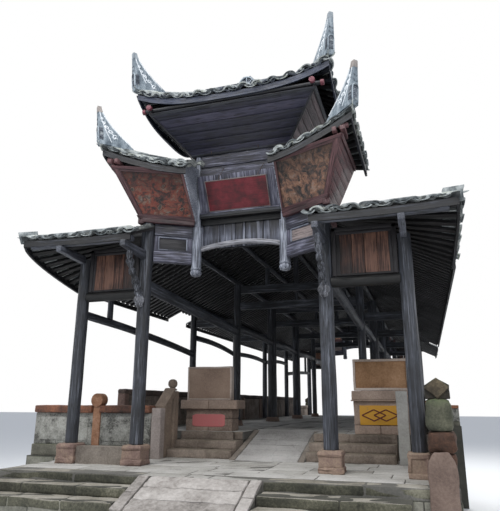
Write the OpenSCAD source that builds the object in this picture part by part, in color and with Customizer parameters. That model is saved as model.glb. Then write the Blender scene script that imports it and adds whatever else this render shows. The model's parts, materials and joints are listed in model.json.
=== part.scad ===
// Timber gallery bridge on a stone arch, with a three-tier gateway at each end.
// Millimetres. X runs across the bridge, Y along it, Z up from the foot of the masonry.

/* [Bridge] */
// Distance between the two gateway planes
gate_gap = 24300; // [24000:100:24900]
// Height of the walkway above the terraces
deck_rise = 520; // [480:20:560]
// Half width of the walkway
deck_half = 3900; // [3880:10:3950]
// Clear span of the stone arch
arch_span = 10400; // [9600:100:11000]
// Rise of the stone arch
arch_rise = 3300; // [3000:50:3350]
// Thickness of the arch ring
arch_ring = 480; // [420:10:500]
// Depth of fill and paving over the crown of the arch ring
crown_cover = 540; // [500:10:600]

/* [Columns] */
// Half distance between the two main columns
main_x = 1900; // [1880:5:1920]
// Distance of the outer columns from the edge of the walkway
outer_inset = 530; // [510:5:540]
// Diameter of the gateway columns
gate_col_d = 275; // [260:5:285]
// Diameter of the gallery columns
row_col_d = 230; // [200:5:250]
// Diameter of the inner columns beside the middle bay
mid_col_d = 340; // [320:5:350]
// Height of a plinth
plinth_h = 380; // [340:10:400]
// Width of a plinth
plinth_w = 400; // [380:10:430]

/* [Gateway] */
// Half distance between the hanging posts
hang_x = 990; // [980:5:1000]
// Depth of the hanging posts behind the gateway plane
hang_y = 550; // [540:5:560]
// Height of the lower face of the wing beams above the terrace
wing_z = 4040; // [4020:10:4060]
// Half width of the top eaves at the corners
top_eave_x = 2200; // [2180:10:2240]
// Height of the top eaves at mid length above the terrace
top_eave_z = 7520; // [7500:10:7560]
// Rise of the top eaves towards the corners
top_sweep = 340; // [300:10:380]
// Height of a horn
horn_h = 930; // [850:10:980]

/* [Gallery roof] */
// Reach of the gallery eaves beyond the edge of the walkway
eave_reach = 400; // [360:10:440]
// Height of the eaves' lower face above the terrace
eave_z = 3750; // [3730:10:3780]
// Slope of the roof in degrees
roof_slope = 26; // [25.6:0.1:26.4]
// Thickness of rafters, boards and tiles together
roof_t = 130; // [120:5:140]

/* [Hidden] */
$fn = 32;
gate_y = gate_gap / 2;
spring_z = 330;
deck_z = spring_z + arch_rise + arch_ring + crown_cover;
terrace_z = deck_z - deck_rise;
outer_x = deck_half - outer_inset;
eave_x = deck_half + eave_reach;
rows = [6000, 10100, gate_gap - 10100, gate_gap - 6000];
bay_ends = concat([0], rows, [gate_gap]);

arch_r = (arch_span * arch_span / 4 + arch_rise * arch_rise) / (2 * arch_rise);
arch_cz = spring_z + arch_rise - arch_r;
arch_half_a = asin(arch_span / 2 / arch_r);

terrace_front = 1320;
deck_start = 2500;
ramp_start = 1500;
ramp_end = 3400;
paving_t = 160;
seat = 0.2;
wall_t = 460;

log_d = 210;
beam_w = 130;
beam_h = 220;
purlin_d = 140;
purlin_drop = purlin_d / 2 / cos(roof_slope) + 0.2;
wing_len = sqrt(pow(main_x - hang_x, 2) + hang_y * hang_y);
wing_a = atan2(-hang_y, main_x - hang_x);
flare_z = wing_z + 940;
post_r = 108;
neck_r = 75;
box_x = hang_x + 60;
box_back = 1900;
box_top = 6560;
ledge_z = 5190;
board_lean = 20;
box_mid = (hang_y + box_back) / 2;
top_eave_y = 350;
ridge_rise = 960;
roof_sag = 60;
top_ridge_half = 1150;
row_top = eave_z + (eave_x - main_x) * tan(roof_slope) - purlin_drop - purlin_d / 2;
outer_top = eave_z + (eave_x - outer_x) * tan(roof_slope) - purlin_drop - purlin_d / 2;
ridge_z = eave_z + eave_x * tan(roof_slope);
gallery_start = 1000;
outer_top_z = 4180;
low_rail_z = 3345;
aisle_beam_z = 3480;
low_tie_z = 3980;
high_tie_z = 4500;
row_plinth_h = 160;
short_post_x = 920;
arm_z = 4130;

// Places a piece of the front gateway and its twin at the far end.
module both_ends() {
    for (a = [0, 180]) rotate([0, 0, a]) translate([0, -gate_y, terrace_z]) children();
}

// Places a piece and its mirror image across the bridge.
module both_sides() {
    children();
    mirror([1, 0, 0]) children();
}

// Box given by its lowest corner and its highest corner.
module span_box(a, b) {
    translate(a) cube(b - a);
}

// Round log along X or Y between two places, with its axis at the height given.
module log_x(x0, x1, y, z, d) {
    translate([x0, y, z]) rotate([0, 90, 0]) cylinder(h = x1 - x0, d = d);
}
module log_y(y0, y1, x, z, d) {
    translate([x, y0, z]) rotate([-90, 0, 0]) cylinder(h = y1 - y0, d = d);
}

// Profile in the Y-Z plane, drawn along X between two places.
module slab_x(x0, x1, pts) {
    translate([x0, 0, 0]) rotate([90, 0, 90]) linear_extrude(x1 - x0) polygon(pts);
}

// Closed sheet between two grids of points, each n by m, row after row.
module sheet(outer, inner, n, m) {
    count = n * m;
    function at(i, j) = i * m + j;
    faces = concat(
        [for (i = [0 : n - 2], j = [0 : m - 2]) each [
            [at(i, j), at(i + 1, j), at(i + 1, j + 1)],
            [at(i, j), at(i + 1, j + 1), at(i, j + 1)],
            [count + at(i, j), count + at(i + 1, j + 1), count + at(i + 1, j)],
            [count + at(i, j), count + at(i, j + 1), count + at(i + 1, j + 1)]]],
        [for (i = [0 : n - 2]) each [
            [at(i, 0), count + at(i, 0), count + at(i + 1, 0)],
            [at(i, 0), count + at(i + 1, 0), at(i + 1, 0)],
            [at(i, m - 1), count + at(i + 1, m - 1), count + at(i, m - 1)],
            [at(i, m - 1), at(i + 1, m - 1), count + at(i + 1, m - 1)]]],
        [for (j = [0 : m - 2]) each [
            [at(0, j), count + at(0, j + 1), count + at(0, j)],
            [at(0, j), at(0, j + 1), count + at(0, j + 1)],
            [at(n - 1, j), count + at(n - 1, j), count + at(n - 1, j + 1)],
            [at(n - 1, j), count + at(n - 1, j + 1), at(n - 1, j + 1)]]]);
    polyhedron(points = concat(outer, inner), faces = faces);
}

function mix(a, b, t) = a + (b - a) * t;

// Shares of a roof's depth from eaves to crest, and the thickness at each: the eaves carry
// a fascia board under the edge.
fascia_h = 80;
roof_vs = [0, 0.035, 0.04, 1 / 3, 2 / 3, 1];
roof_drops = [roof_t + fascia_h, roof_t + fascia_h, roof_t, roof_t, roof_t, roof_t];

// Wedge of the arch between its springings, drawn across the bridge.
module arch_disc(r, half) {
    translate([-half, 0, arch_cz]) rotate([0, 90, 0]) cylinder(h = 2 * half, r = r, $fn = 360);
}

module arch_barrel() {
    color("dimgray") intersection() {
        difference() {
            arch_disc(arch_r + arch_ring, deck_half);
            arch_disc(arch_r, deck_half + 10);
        }
        let (far = 8 * arch_r) slab_x(-deck_half - 5, deck_half + 5, [
            [0, arch_cz],
            [far * sin(arch_half_a), arch_cz + far * cos(arch_half_a)],
            [-far * sin(arch_half_a), arch_cz + far * cos(arch_half_a)]]);
    }
}

// Block above the arch and between the abutments, in the band of X given.
module over_arch(x0, x1) {
    difference() {
        span_box([x0, -arch_span / 2 - 600, spring_z + 200], [x1, arch_span / 2 + 600, deck_z - paving_t]);
        arch_disc(arch_r + arch_ring, deck_half + 10);
        for (s = [0, 1]) mirror([0, s, 0]) abutment_mass(10);
    }
}

// Mass of one abutment up to the paving, from the arch to the terrace front.
module abutment_mass(grow) {
    front = gate_y + terrace_front;
    back = arch_span / 2;
    skew = (arch_ring + 5) * sin(arch_half_a);
    side = deck_half + grow;
    slab_x(-side, side, [
        [-front, 0], [-back, 0], [-back, spring_z],
        [-back - skew, spring_z + (arch_ring + 5) * cos(arch_half_a)],
        [-back - skew, deck_z - paving_t], [-gate_y + deck_start, deck_z - paving_t],
        [-gate_y + deck_start, terrace_z - paving_t], [-front, terrace_z - paving_t]]);
}

module spandrel_walls() {
    color("dimgray") both_sides() over_arch(deck_half - wall_t, deck_half);
}

module arch_fill() {
    color("slategray") over_arch(-deck_half + wall_t, deck_half - wall_t);
}

// Wall along the bank beside the front of the abutment, under the bank parapet.
module bank_wall() {
    span_box([-5250, -gate_y + 1040, 0], [-deck_half, -gate_y + 1440, terrace_z]);
}

// Slot in the front edge of the walkway through which the ramp climbs.
module ramp_slot() {
    translate([0, -gate_y, terrace_z])
        span_box([ramp_x0 - seat, deck_start - 10, 0], [ramp_x1 + seat, ramp_end + seat, deck_rise + 10]);
}

module front_abutment() {
    color("gray") {
        difference() {
            abutment_mass(0);
            ramp_slot();
        }
        bank_wall();
    }
}

module rear_abutment() {
    color("gray") rotate([0, 0, 180]) {
        difference() {
            abutment_mass(0);
            ramp_slot();
        }
        bank_wall();
    }
}

module terrace_paving() {
    color("darkgray") both_ends()
        span_box([-deck_half, -terrace_front, -paving_t], [deck_half, deck_start, 0]);
}

ramp_x0 = -534;
ramp_x1 = 1090;

module deck_paving() {
    color("darkgray") difference() {
        span_box([-deck_half, -gate_y + deck_start, deck_z - paving_t],
            [deck_half, gate_y - deck_start, deck_z]);
        for (a = [0, 180]) rotate([0, 0, a]) ramp_slot();
    }
}

module centre_ramps() {
    color("darkgray") both_ends()
        slab_x(ramp_x0, ramp_x1, [[ramp_start, 0], [ramp_end, 0], [ramp_end, deck_rise]]);
}

module deck_steps() {
    step = deck_rise / 3;
    color("rosybrown") both_ends() {
        slab_x(-2040, ramp_x0 - 4, [
            [1650, 0], [deck_start, 0], [deck_start, 2 * step],
            [2000, 2 * step], [2000, step], [1650, step]]);
        span_box([-2040, 2400, 2 * step], [-750, deck_start, 3 * step]);
        slab_x(ramp_x1 + 4, 2890, [
            [1700, 0], [deck_start, 0], [deck_start, 2 * step],
            [2050, 2 * step], [2050, step], [1700, step]]);
        span_box([1917, 2360, 2 * step], [2890, deck_start, 3 * step]);
    }
}

street_drop = 450;

// Three risers down from the terrace, on a mass that reaches the foot of the masonry.
module street_flight(x0, x1) {
    step = street_drop / 3;
    slab_x(x0, x1, [
        [-terrace_front, -terrace_z], [-terrace_front, -step], [-terrace_front - 380, -step],
        [-terrace_front - 380, -2 * step], [-terrace_front - 780, -2 * step],
        [-terrace_front - 780, -terrace_z]]);
}

module street_steps() {
    color("rosybrown") both_ends() {
        street_flight(-deck_half, -1100);
        street_flight(1050, deck_half - 650);
    }
}

module street_ramps() {
    color("darkgray") both_ends() slab_x(-1096, 1046, [
        [-terrace_front, -terrace_z], [-terrace_front, 0], [-terrace_front - 900, -street_drop * 0.85],
        [-terrace_front - 900, -terrace_z]]);
}

// Square post with a moulded cap; its foot stands at the origin.
module stone_post(w, h) {
    translate([-w / 2, -w / 2, 0]) cube([w, w, h]);
}

module bank_parapets() {
    color("rosybrown") both_ends() {
        span_box([-5200, 1100, 0], [-2220, 1380, 250]);
        span_box([-5200, 1160, 250], [-2220, 1320, 940]);
        span_box([-5200, 1080, 940], [-2220, 1400, 1100]);
        translate([-3565, 1220, 0]) {
            stone_post(180, 1100);
            translate([0, -120, 1215]) rotate([-90, 0, 0]) cylinder(h = 240, d = 300);
        }
        span_box([-2220, 1180, 0], [-1990, 1405, 1050]);
    }
}

module climbing_parapets() {
    color("rosybrown") both_ends() {
        slab_x(-2210, -2050, [[1410, 0], [1900, 0], [1900, 1330], [1410, 930]]);
        slab_x(-2260, -2000, [[1410, 930], [1900, 1330], [1900, 1500], [1410, 1100]]);
        translate([-2130, 2020, 0]) {
            stone_post(240, 1450);
            translate([0, 0, 1440]) cylinder(h = 70, d = 200);
            translate([0, 0, 1590]) sphere(d = 220);
        }
    }
}

// Low wall of posts, panels and a coping along both edges of the walkway.
parapet_x = deck_half - 130;
parapet_from = deck_start;
parapet_h = 980;
parapet_bays = 8;

module side_parapets() {
    len = gate_gap - 2 * parapet_from;
    color("rosybrown") both_sides() translate([parapet_x, -len / 2, deck_z]) {
        span_box([-80, 0, 0], [80, len, parapet_h - 150]);
        span_box([-120, 0, parapet_h - 150], [120, len, parapet_h]);
        for (i = [0 : parapet_bays])
            span_box([-105, i * (len - 220) / parapet_bays, 0],
                [105, i * (len - 220) / parapet_bays + 220, parapet_h - 100]);
    }
}

// Stack of stones at the street end of the terrace edge: a tall slab with a rounded head in
// front, then a block, a rounded block and a gabled stone with a sunk diamond.
module end_posts() {
    x0 = deck_half - 380;
    y0 = -terrace_front;
    w = 360;
    gable_z = 1190;
    wall = [parapet_x - 80, parapet_x + 80];
    color("tan") both_ends() {
        intersection() {
            span_box([x0, y0 - 110, -street_drop], [x0 + w + 20, y0, 480]);
            translate([x0 + w / 2 + 10, y0 - 120, -80]) rotate([-90, 0, 0]) cylinder(h = 130, d = 1120);
            translate([x0 + w / 2 + 10, y0 - 120, 230]) rotate([-90, 0, 0]) union() {
                cylinder(h = 130, d = 500);
                translate([-300, 0, 0]) cube([600, 900, 130]);
            }
        }
        span_box([x0 + 5, y0, 0], [x0 + w + 5, y0 + 420, 470]);
        intersection() {
            span_box([x0 + 10, y0, 470], [x0 + w + 10, y0 + 400, 770]);
            translate([x0 + 10 + w / 2, y0 + 200, 620]) scale([1, 1, 0.9]) sphere(d = 600);
        }
        intersection() {
            span_box([x0 + 20, y0 + 10, 760], [x0 + w, y0 + 390, gable_z]);
            translate([x0 + 10 + w / 2, y0 + 200, 0]) cylinder(h = gable_z, d1 = 560, d2 = 470);
        }
        translate([x0 + 10 + w / 2, y0 + 40, gable_z]) rotate([90, 0, 0]) mirror([0, 0, 1]) difference() {
            linear_extrude(320) polygon([[-175, 0], [175, 0], [175, 340], [0, 460], [-175, 340]]);
            translate([0, 0, -1]) linear_extrude(26)
                polygon([[0, 25], [140, 220], [0, 400], [-140, 220]]);
        }
        span_box([wall[0], y0 + 420, 0], [wall[1], deck_start, 900]);
        span_box([wall[0] - 40, y0 + 420, 900], [wall[1] + 40, deck_start, 1050]);
    }
}

// Slab in a thin frame on a cornice and a panelled base.
module left_stele() {
    color("sandybrown") translate([-deck_half + 1780, -gate_y + 2620, deck_z]) {
        span_box([86, 0, 0], [1269, 500, 503]);
        difference() {
            span_box([234, -25, 70], [1116, 5, 410]);
            span_box([270, -30, 106], [1080, -12, 374]);
        }
        span_box([-25, -100, 503], [1408, 560, 710]);
        difference() {
            span_box([32, 160, 710], [1188, 340, 1508]);
            span_box([82, 140, 760], [1138, 185, 1458]);
        }
    }
}

// Framed board on a band and a panelled body, with a flat post on the terrace at one side.
module right_stele() {
    color("tan") translate([deck_half - 1886, -gate_y + 2450, deck_z]) {
        span_box([0, 0, 0], [1186, 520, 690]);
        span_box([129, -12, 197], [1057, 1, 599]);
        span_box([-58, -70, 690], [1200, 560, 912]);
        span_box([888, -860, -deck_rise], [1108, -690, 840]);
        difference() {
            span_box([18, 0, 912], [1200, 150, 1590]);
            span_box([68, -20, 972], [1150, 28, 1535]);
        }
    }
}

// Plinth with a rolled upper edge; its foot stands at the origin.
module plinth(w, h) {
    translate([-w / 2 + 20, -w / 2 + 20, 0]) cube([w - 40, w - 40, h]);
    translate([-w / 2 - 10, -w / 2 - 10, 0]) cube([w + 20, w + 20, 90]);
    roll = 75;
    for (s = [-1, 1]) {
        log_x(-w / 2, w / 2, s * (w / 2 - 30), h - roll / 2, roll);
        log_y(-w / 2, w / 2, s * (w / 2 - 30), h - roll / 2, roll);
    }
}

module column_plinths() {
    color("rosybrown") {
        both_ends() for (x = [-outer_x, -main_x, main_x, outer_x])
            if (x < outer_x) translate([x, 0, 0]) plinth(plinth_w, plinth_h);
        both_ends() span_box([outer_x - 190, -390, 0], [outer_x + 150, 140, plinth_h]);
        for (i = [0 : 3], x = [-main_x, main_x]) translate([x, rows[i] - gate_y, deck_z])
            cylinder(h = row_plinth_h, d1 = row_d(i) + 170, d2 = row_d(i) + 100);
    }
}

module gate_sills() {
    color("rosybrown") both_ends()
        span_box([-outer_x + plinth_w / 2 + 12, -130, 0], [-main_x - plinth_w / 2 - 12, 130, 330]);
}

module gate_main_columns() {
    color("slategray") both_ends() both_sides()
        translate([main_x, 0, plinth_h]) cylinder(h = wing_z + 840 - plinth_h, d = gate_col_d);
}

module gate_outer_columns() {
    color("slategray") both_ends() both_sides()
        translate([outer_x, 0, plinth_h]) cylinder(h = outer_top_z - plinth_h, d = gate_col_d - 20);
}

// Diameter of the inner columns of a row: those of the two middle rows are thicker.
function row_d(i) = i == 1 || i == 2 ? mid_col_d : row_col_d;

module inner_columns() {
    color("slategray") for (i = [0 : 3], x = [-main_x, main_x])
        translate([x, rows[i] - gate_y, deck_z + row_plinth_h])
            cylinder(h = row_top - deck_rise - row_plinth_h, d = row_d(i));
}

module aisle_columns() {
    color("slategray") for (y = rows, x = [-outer_x, outer_x])
        translate([x, y - gate_y, deck_z])
            cylinder(h = outer_top - deck_rise, d = row_col_d - 20);
}

module tie_beams() {
    color("slategray") for (i = [0 : 3], z = [low_tie_z, high_tie_z]) {
        reach = main_x - row_d(i) / 2;
        translate([0, rows[i] - gate_y, terrace_z])
            span_box([-reach, -beam_w / 2, z], [reach, beam_w / 2, z + beam_h]);
    }
}

module aisle_beams() {
    outer = outer_x - row_col_d / 2 + 10;
    color("slategray") both_sides() for (i = [0 : 3]) translate([0, rows[i] - gate_y, terrace_z])
        span_box([main_x + row_d(i) / 2, -beam_w / 2, aisle_beam_z],
            [outer, beam_w / 2, aisle_beam_z + beam_h]);
}

// Log between two columns that falls from one end to the other and bows upwards. Each bay
// has its lower faces at both ends, its depth and its bow; the last bays mirror the first.
module bowed_log(y0, y1, x, w, bay) {
    steps = 8;
    function low(t) = mix(bay[0], bay[1], t) + bay[3] * 4 * t * (1 - t);
    slab_x(x - w / 2, x + w / 2, concat(
        [for (i = [0 : steps]) [mix(y0, y1, i / steps), terrace_z + low(i / steps)]],
        [for (i = [steps : -1 : 0]) [mix(y0, y1, i / steps), terrace_z + low(i / steps) + bay[2]]]));
}
function turned_bay(bay) = [bay[1], bay[0], bay[2], bay[3]];
function bay_shape(bays, i) = i < 3 ? bays[i] : turned_bay(bays[4 - i]);

inner_bays = [[3390, 3170, 290, 0], [3280, 3240, 230, 50], [3240, 3240, 230, 80]];
outer_bays = [[2895, 2555, 190, 50], [3080, 2870, 180, 80], [2900, 2900, 180, 70]];
stub_y = 1090;

module inner_logs() {
    color("slategray") both_sides() for (i = [0 : 4]) {
        d0 = i == 0 ? gate_col_d : row_d(i - 1);
        d1 = i == 4 ? gate_col_d : row_d(i);
        bowed_log(bay_ends[i] - gate_y + d0 / 2, bay_ends[i + 1] - gate_y - d1 / 2,
            main_x, 190, bay_shape(inner_bays, i));
    }
}

// The outer logs, with a stub near each gateway between the first log and the purlin.
module outer_logs() {
    top = eave_z + (eave_x - outer_x) * tan(roof_slope) - purlin_drop - purlin_d / 2;
    color("slategray") both_sides() {
        for (i = [0 : 4]) {
            d0 = i == 0 ? gate_col_d - 20 : row_col_d - 20;
            d1 = i == 4 ? gate_col_d - 20 : row_col_d - 20;
            bowed_log(bay_ends[i] - gate_y + d0 / 2, bay_ends[i + 1] - gate_y - d1 / 2,
                outer_x, 150, bay_shape(outer_bays, i));
        }
        both_ends() translate([outer_x, stub_y, 2990]) cylinder(h = top - 2990, d = 140);
    }
}

module low_rails() {
    color("slategray") both_ends() both_sides() {
        log_x(main_x + gate_col_d / 2, outer_x - gate_col_d / 2 + 10, 0, low_rail_z, log_d);
    }
}

module short_posts() {
    foot = high_tie_z + beam_h;
    top = ridge_z - purlin_drop - purlin_d / 2;
    color("slategray") for (y = rows) translate([0, y - gate_y, terrace_z + foot]) {
        cylinder(h = top - 8 - foot, d = 150);
        both_sides() translate([short_post_x, 0, 0])
            cylinder(h = top - short_post_x * tan(roof_slope) - foot, d = 140);
    }
}

// Round purlins under the slopes, as far apart as the columns and the short posts.
module purlins() {
    reach = gate_y - gallery_start;
    inner = gate_y - box_back - seat;
    color("slategray") translate([0, 0, terrace_z]) {
        both_sides() {
            for (x = [main_x, outer_x])
                log_y(-reach, reach, x, eave_z + (eave_x - x) * tan(roof_slope) - purlin_drop, purlin_d);
            log_y(-inner, inner, short_post_x,
                eave_z + (eave_x - short_post_x) * tan(roof_slope) - purlin_drop, purlin_d);
        }
        log_y(-inner, inner, 0, ridge_z - purlin_drop - 8, purlin_d);
    }
}

// Cross-section of one slope of the gallery roof.
module roof_section(reach) {
    translate([0, reach, terrace_z]) rotate([90, 0, 0]) linear_extrude(2 * reach) polygon([
        [eave_x, eave_z], [0, ridge_z], [0, ridge_z + roof_t], [eave_x, eave_z + roof_t]]);
}

// A stretch of the eaves has broken away on the left, beside the first row of columns.
module gallery_roof() {
    reach = gate_y - gallery_start;
    color("darkslategray") difference() {
        both_sides() roof_section(reach);
        both_ends() span_box([-box_x - 40, 0, low_tie_z], [box_x + 40, box_back + 40, ridge_z + 1000]);
        both_ends() span_box([-eave_x - 10, 5950, eave_z - 10], [-eave_x + 420, 7400, eave_z + 500]);
    }
}

module gallery_ridge() {
    reach = gate_y - box_back - 60;
    color("darkgray") translate([0, reach, terrace_z + ridge_z + roof_t]) rotate([90, 0, 0])
        linear_extrude(2 * reach)
            polygon([[-120, -60], [0, 0], [120, -60], [110, 90], [60, 190], [-60, 190], [-110, 90]]);
}

module hanging_posts() {
    color("slategray") both_ends() both_sides() translate([hang_x, hang_y, 0]) {
        translate([0, 0, wing_z - 90]) cylinder(h = 930, r = post_r);
        translate([0, 0, wing_z + 830]) cylinder(h = box_top - wing_z - 830, r = neck_r);
        translate([0, 0, wing_z - 125]) cylinder(h = 45, r = post_r + 12);
        translate([0, 0, wing_z - 185]) scale([1, 1, 0.62]) sphere(d = 262);
    }
}

// Frame of two beams and a sunk panel between a hanging post and a main column.
module wing_frames() {
    start = post_r + seat;
    end = wing_len - gate_col_d / 2 - seat;
    color("slategray") both_ends() both_sides()
        translate([hang_x, hang_y, wing_z]) rotate([0, 0, wing_a]) {
            span_box([start, -75, 0], [end, 75, 240]);
            span_box([start, -20, 240], [end, 20, 590]);
            span_box([start, -50, 240], [start + 70, 50, 590]);
            span_box([end - 70, -50, 240], [end, 50, 590]);
            span_box([start, -75, 590], [end, 75, 840]);
        }
}

// Leaning panels above the wing frames: a front sheet that turns back round the corner.
wing_top_z = 5900;
function wing_low(u) = u < 0.7
    ? [mix(hang_x, main_x + 130, u / 0.7), mix(hang_y - 125, -160, u / 0.7), flare_z]
    : [main_x + 130, mix(-160, 850, (u - 0.7) / 0.3), flare_z];
function wing_high(u) = u < 0.7
    ? [mix(hang_x, 2420, u / 0.7), mix(-330, -780, u / 0.7), wing_top_z + 120 * u]
    : [mix(2420, 2480, (u - 0.7) / 0.3), mix(-780, 850, (u - 0.7) / 0.3), wing_top_z + 84];

module wing_flares() {
    us = [0, 0.35, 0.7, 1];
    backs = [[0, 45, 0], [0, 45, 0], [-45, 45, 0], [-45, 0, 0]];
    outer = [for (u = us, v = [0, 0.5, 1]) mix(wing_low(u), wing_high(u), v)];
    inner = [for (i = [0 : 3], v = [0, 0.5, 1]) mix(wing_low(us[i]), wing_high(us[i]), v) + backs[i]];
    color("sienna") both_ends() both_sides() {
        sheet(inner, outer, 4, 3);
        slab_x(hang_x - 30, hang_x - seat, [
            [hang_y - 125, flare_z], [hang_y - 80, flare_z],
            [hang_y - 80, wing_top_z - 20], [-320, wing_top_z - 20]]);
        translate([hang_x, hang_y, flare_z - 100]) rotate([0, 0, wing_a])
            span_box([80, -150, 0], [wing_len + 120, 60, 100 - seat]);
    }
}

// Roof of a wing: it fans from the swept eaves up to the side of the centre box.
wing_eave_z = 5990;
wing_corner_x = 2660;
function wing_eave(u) = u <= 0.6
    ? [mix(880, wing_corner_x, u / 0.6), mix(-400, -860, u / 0.6), wing_eave_z + 470 * pow(u / 0.6, 1.6)]
    : [mix(wing_corner_x, wing_corner_x + 80, (u - 0.6) / 0.4), mix(-860, 1000, (u - 0.6) / 0.4),
        wing_eave_z + 470 - 420 * pow((u - 0.6) / 0.4, 0.7)];
function wing_crest(u) = [box_x + 45, mix(100, 1000, u), 6480];

module wing_roofs() {
    n = 11;
    m = len(roof_vs);
    top = [for (i = [0 : n - 1], v = roof_vs)
        let (u = i / (n - 1)) mix(wing_eave(u), wing_crest(u), v) - [0, 0, roof_sag * sin(180 * v)]];
    low = [for (i = [0 : n - 1], j = [0 : m - 1]) top[i * m + j] - [0, 0, roof_drops[j]]];
    color("darkslategray") both_ends() both_sides() sheet(low, top, n, m);
}

// Boarded box behind the plaque, with the beams across its front.
module centre_box() {
    inner = hang_x - neck_r - seat;
    color("slategray") both_ends() {
        span_box([-inner, hang_y - 60, 5980], [inner, hang_y + 60, 6230]);
        span_box([-inner, hang_y - 20, 6230], [inner, hang_y + 60, 6270]);
        span_box([-inner, hang_y - 40, 6270], [inner, hang_y + 60, box_top]);
        both_sides()
            span_box([hang_x - 30, hang_y + neck_r + seat, wing_z + 845], [hang_x + 30, box_back, box_top]);
        span_box([-hang_x + 30, box_back - 60, 4760], [hang_x - 30, box_back, box_top]);
        slab_x(-inner, inner, [
            [hang_y + board_lean, ledge_z], [hang_y + 60, ledge_z],
            [hang_y - 200, 5980], [hang_y - 250, 5980]]);
        span_box([-inner, hang_y - 60, ledge_z - 80], [inner, hang_y + 60, ledge_z]);
    }
}

module lintel_screen() {
    half = hang_x - post_r - seat;
    color("lightslategray") both_ends() {
        span_box([-hang_x + 30 + seat, hang_y + 112, 4400],
            [hang_x - 30 - seat, hang_y + 142, ledge_z - 125]);
        translate([0, hang_y + 112, 0]) rotate([90, 0, 0]) linear_extrude(110) polygon(concat(
            [for (i = [0 : 8]) [mix(-half, half, i / 8), 4330 + 110 * sin(180 * i / 8)]],
            [for (i = [8 : -1 : 0]) [mix(-half, half, i / 8), 4440 + 110 * sin(180 * i / 8)]]));
    }
}

module plaque() {
    foot_z = ledge_z + 40;
    foot_y = hang_y + board_lean - 40 * (board_lean + 250) / (5980 - ledge_z) - seat;
    color("darkred") both_ends()
        translate([0, foot_y, foot_z]) rotate([30, 0, 0]) span_box([-700, -45, 0], [700, 0, 680]);
}

// Flared boarding under the top eaves, on four sides of the box.
function ring_point(k, hx, y0, y1, z) =
    [k == 0 || k == 3 ? -hx : hx, k < 2 ? y0 : y1, z];

module flare_shell(hx0, y00, y01, z0, hx1, y10, y11, z1, t) {
    low = [for (k = [0 : 3]) ring_point(k, hx0, y00, y01, z0)];
    high = [for (k = [0 : 3]) ring_point(k, hx1, y10, y11, z1)];
    low_in = [for (k = [0 : 3]) ring_point(k, hx0 - t, y00 + t, y01 - t, z0)];
    high_in = [for (k = [0 : 3]) ring_point(k, hx1 - t, y10 + t, y11 - t, z1)];
    faces = [for (k = [0 : 3]) let (n = (k + 1) % 4) each [
        [k, 4 + k, 4 + n, n], [8 + k, 8 + n, 12 + n, 12 + k],
        [k, n, 8 + n, 8 + k], [4 + k, 12 + k, 12 + n, 4 + n]]];
    polyhedron(points = concat(low, high, low_in, high_in), faces = faces);
}

module top_flares() {
    rim_y = -top_eave_y + 70;
    rim_rise = (ridge_rise / 3 - roof_sag * sin(60)) * 3 * 70 / (box_mid + top_eave_y - 60) - seat;
    color("slategray") both_ends()
        flare_shell(hang_x + 120, hang_y - 60, box_back + 60, box_top,
            top_eave_x - 330, rim_y, 2 * box_mid - rim_y, top_eave_z - 130, 50);
    color("brown") both_ends() for (s = [-1, 1]) {
        span_box([-top_eave_x + 150, box_mid + s * (box_mid - rim_y - 40) - 40, top_eave_z - 130],
            [top_eave_x - 150, box_mid + s * (box_mid - rim_y - 40) + 40, top_eave_z + rim_rise]);
        span_box([s * (top_eave_x - 370) - 40, rim_y - 150, top_eave_z - 130],
            [s * (top_eave_x - 370) + 40, 2 * box_mid - rim_y + 150, top_eave_z + rim_rise]);
    }
}

// Hipped roof with swept corners: rings of points from the eaves to the ridge.
module top_roof() {
    n = 32;
    rings = len(roof_vs);
    depth = box_mid + top_eave_y;
    function lift(s) = top_sweep * pow(abs(s), 3);
    function eave(k) = let (side = floor(k / 8), s = (k % 8) / 4 - 1)
        side == 0 ? [s * top_eave_x, -depth, lift(s)]
        : side == 1 ? [top_eave_x, s * depth, lift(s)]
        : side == 2 ? [-s * top_eave_x, depth, lift(s)]
        : [-top_eave_x, -s * depth, lift(s)];
    function crest(k) = let (side = floor(k / 8), s = (k % 8) / 4 - 1)
        side == 0 ? [s * top_ridge_half, -60, ridge_rise]
        : side == 1 ? [top_ridge_half + 40 * (1 - s * s), s * 60, ridge_rise]
        : side == 2 ? [-s * top_ridge_half, 60, ridge_rise]
        : [-top_ridge_half - 40 * (1 - s * s), -s * 60, ridge_rise];
    top = [for (v = roof_vs, k = [0 : n - 1]) mix(eave(k), crest(k), v) - [0, 0, roof_sag * sin(180 * v)]];
    low = [for (j = [0 : rings - 1], k = [0 : n - 1]) top[j * n + k] - [0, 0, roof_drops[j]]];
    count = n * rings;
    crest_faces = concat(
        [for (k = [0 : 7]) each [[k, 24 - k, 23 - k], [k, 23 - k, k + 1]]],
        [for (k = [9 : 15]) [8, k + 1, k]],
        [for (k = [25 : 31]) [24, k + 1, k]]);
    faces = concat(
        [for (j = [0 : rings - 2], k = [0 : n - 1]) let (a = j * n + k, b = j * n + (k + 1) % n) each [
            [a, b + n, b], [a, a + n, b + n],
            [count + a, count + b, count + b + n], [count + a, count + b + n, count + a + n]]],
        [for (k = [0 : n - 1]) let (a = k, b = (k + 1) % n) each [
            [a, b, count + b], [a, count + b, count + a]]],
        [for (f = crest_faces) [for (k = f) (rings - 1) * n + k % n]],
        [for (f = crest_faces) [for (i = [len(f) - 1 : -1 : 0]) count + (rings - 1) * n + f[i] % n]]);
    color("darkslategray") both_ends() translate([0, box_mid, top_eave_z + roof_t]) {
        polyhedron(points = concat(top, low), faces = faces);
        translate([-top_ridge_half, -60, ridge_rise - 2]) cube([2 * top_ridge_half, 120, 150]);
        translate([0, 60, ridge_rise + 148]) rotate([90, 0, 0]) linear_extrude(120)
            polygon([[-260, 0], [-260, 90], [-170, 90], [-170, 190],
                [170, 190], [170, 90], [260, 90], [260, 0]]);
    }
}

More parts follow.
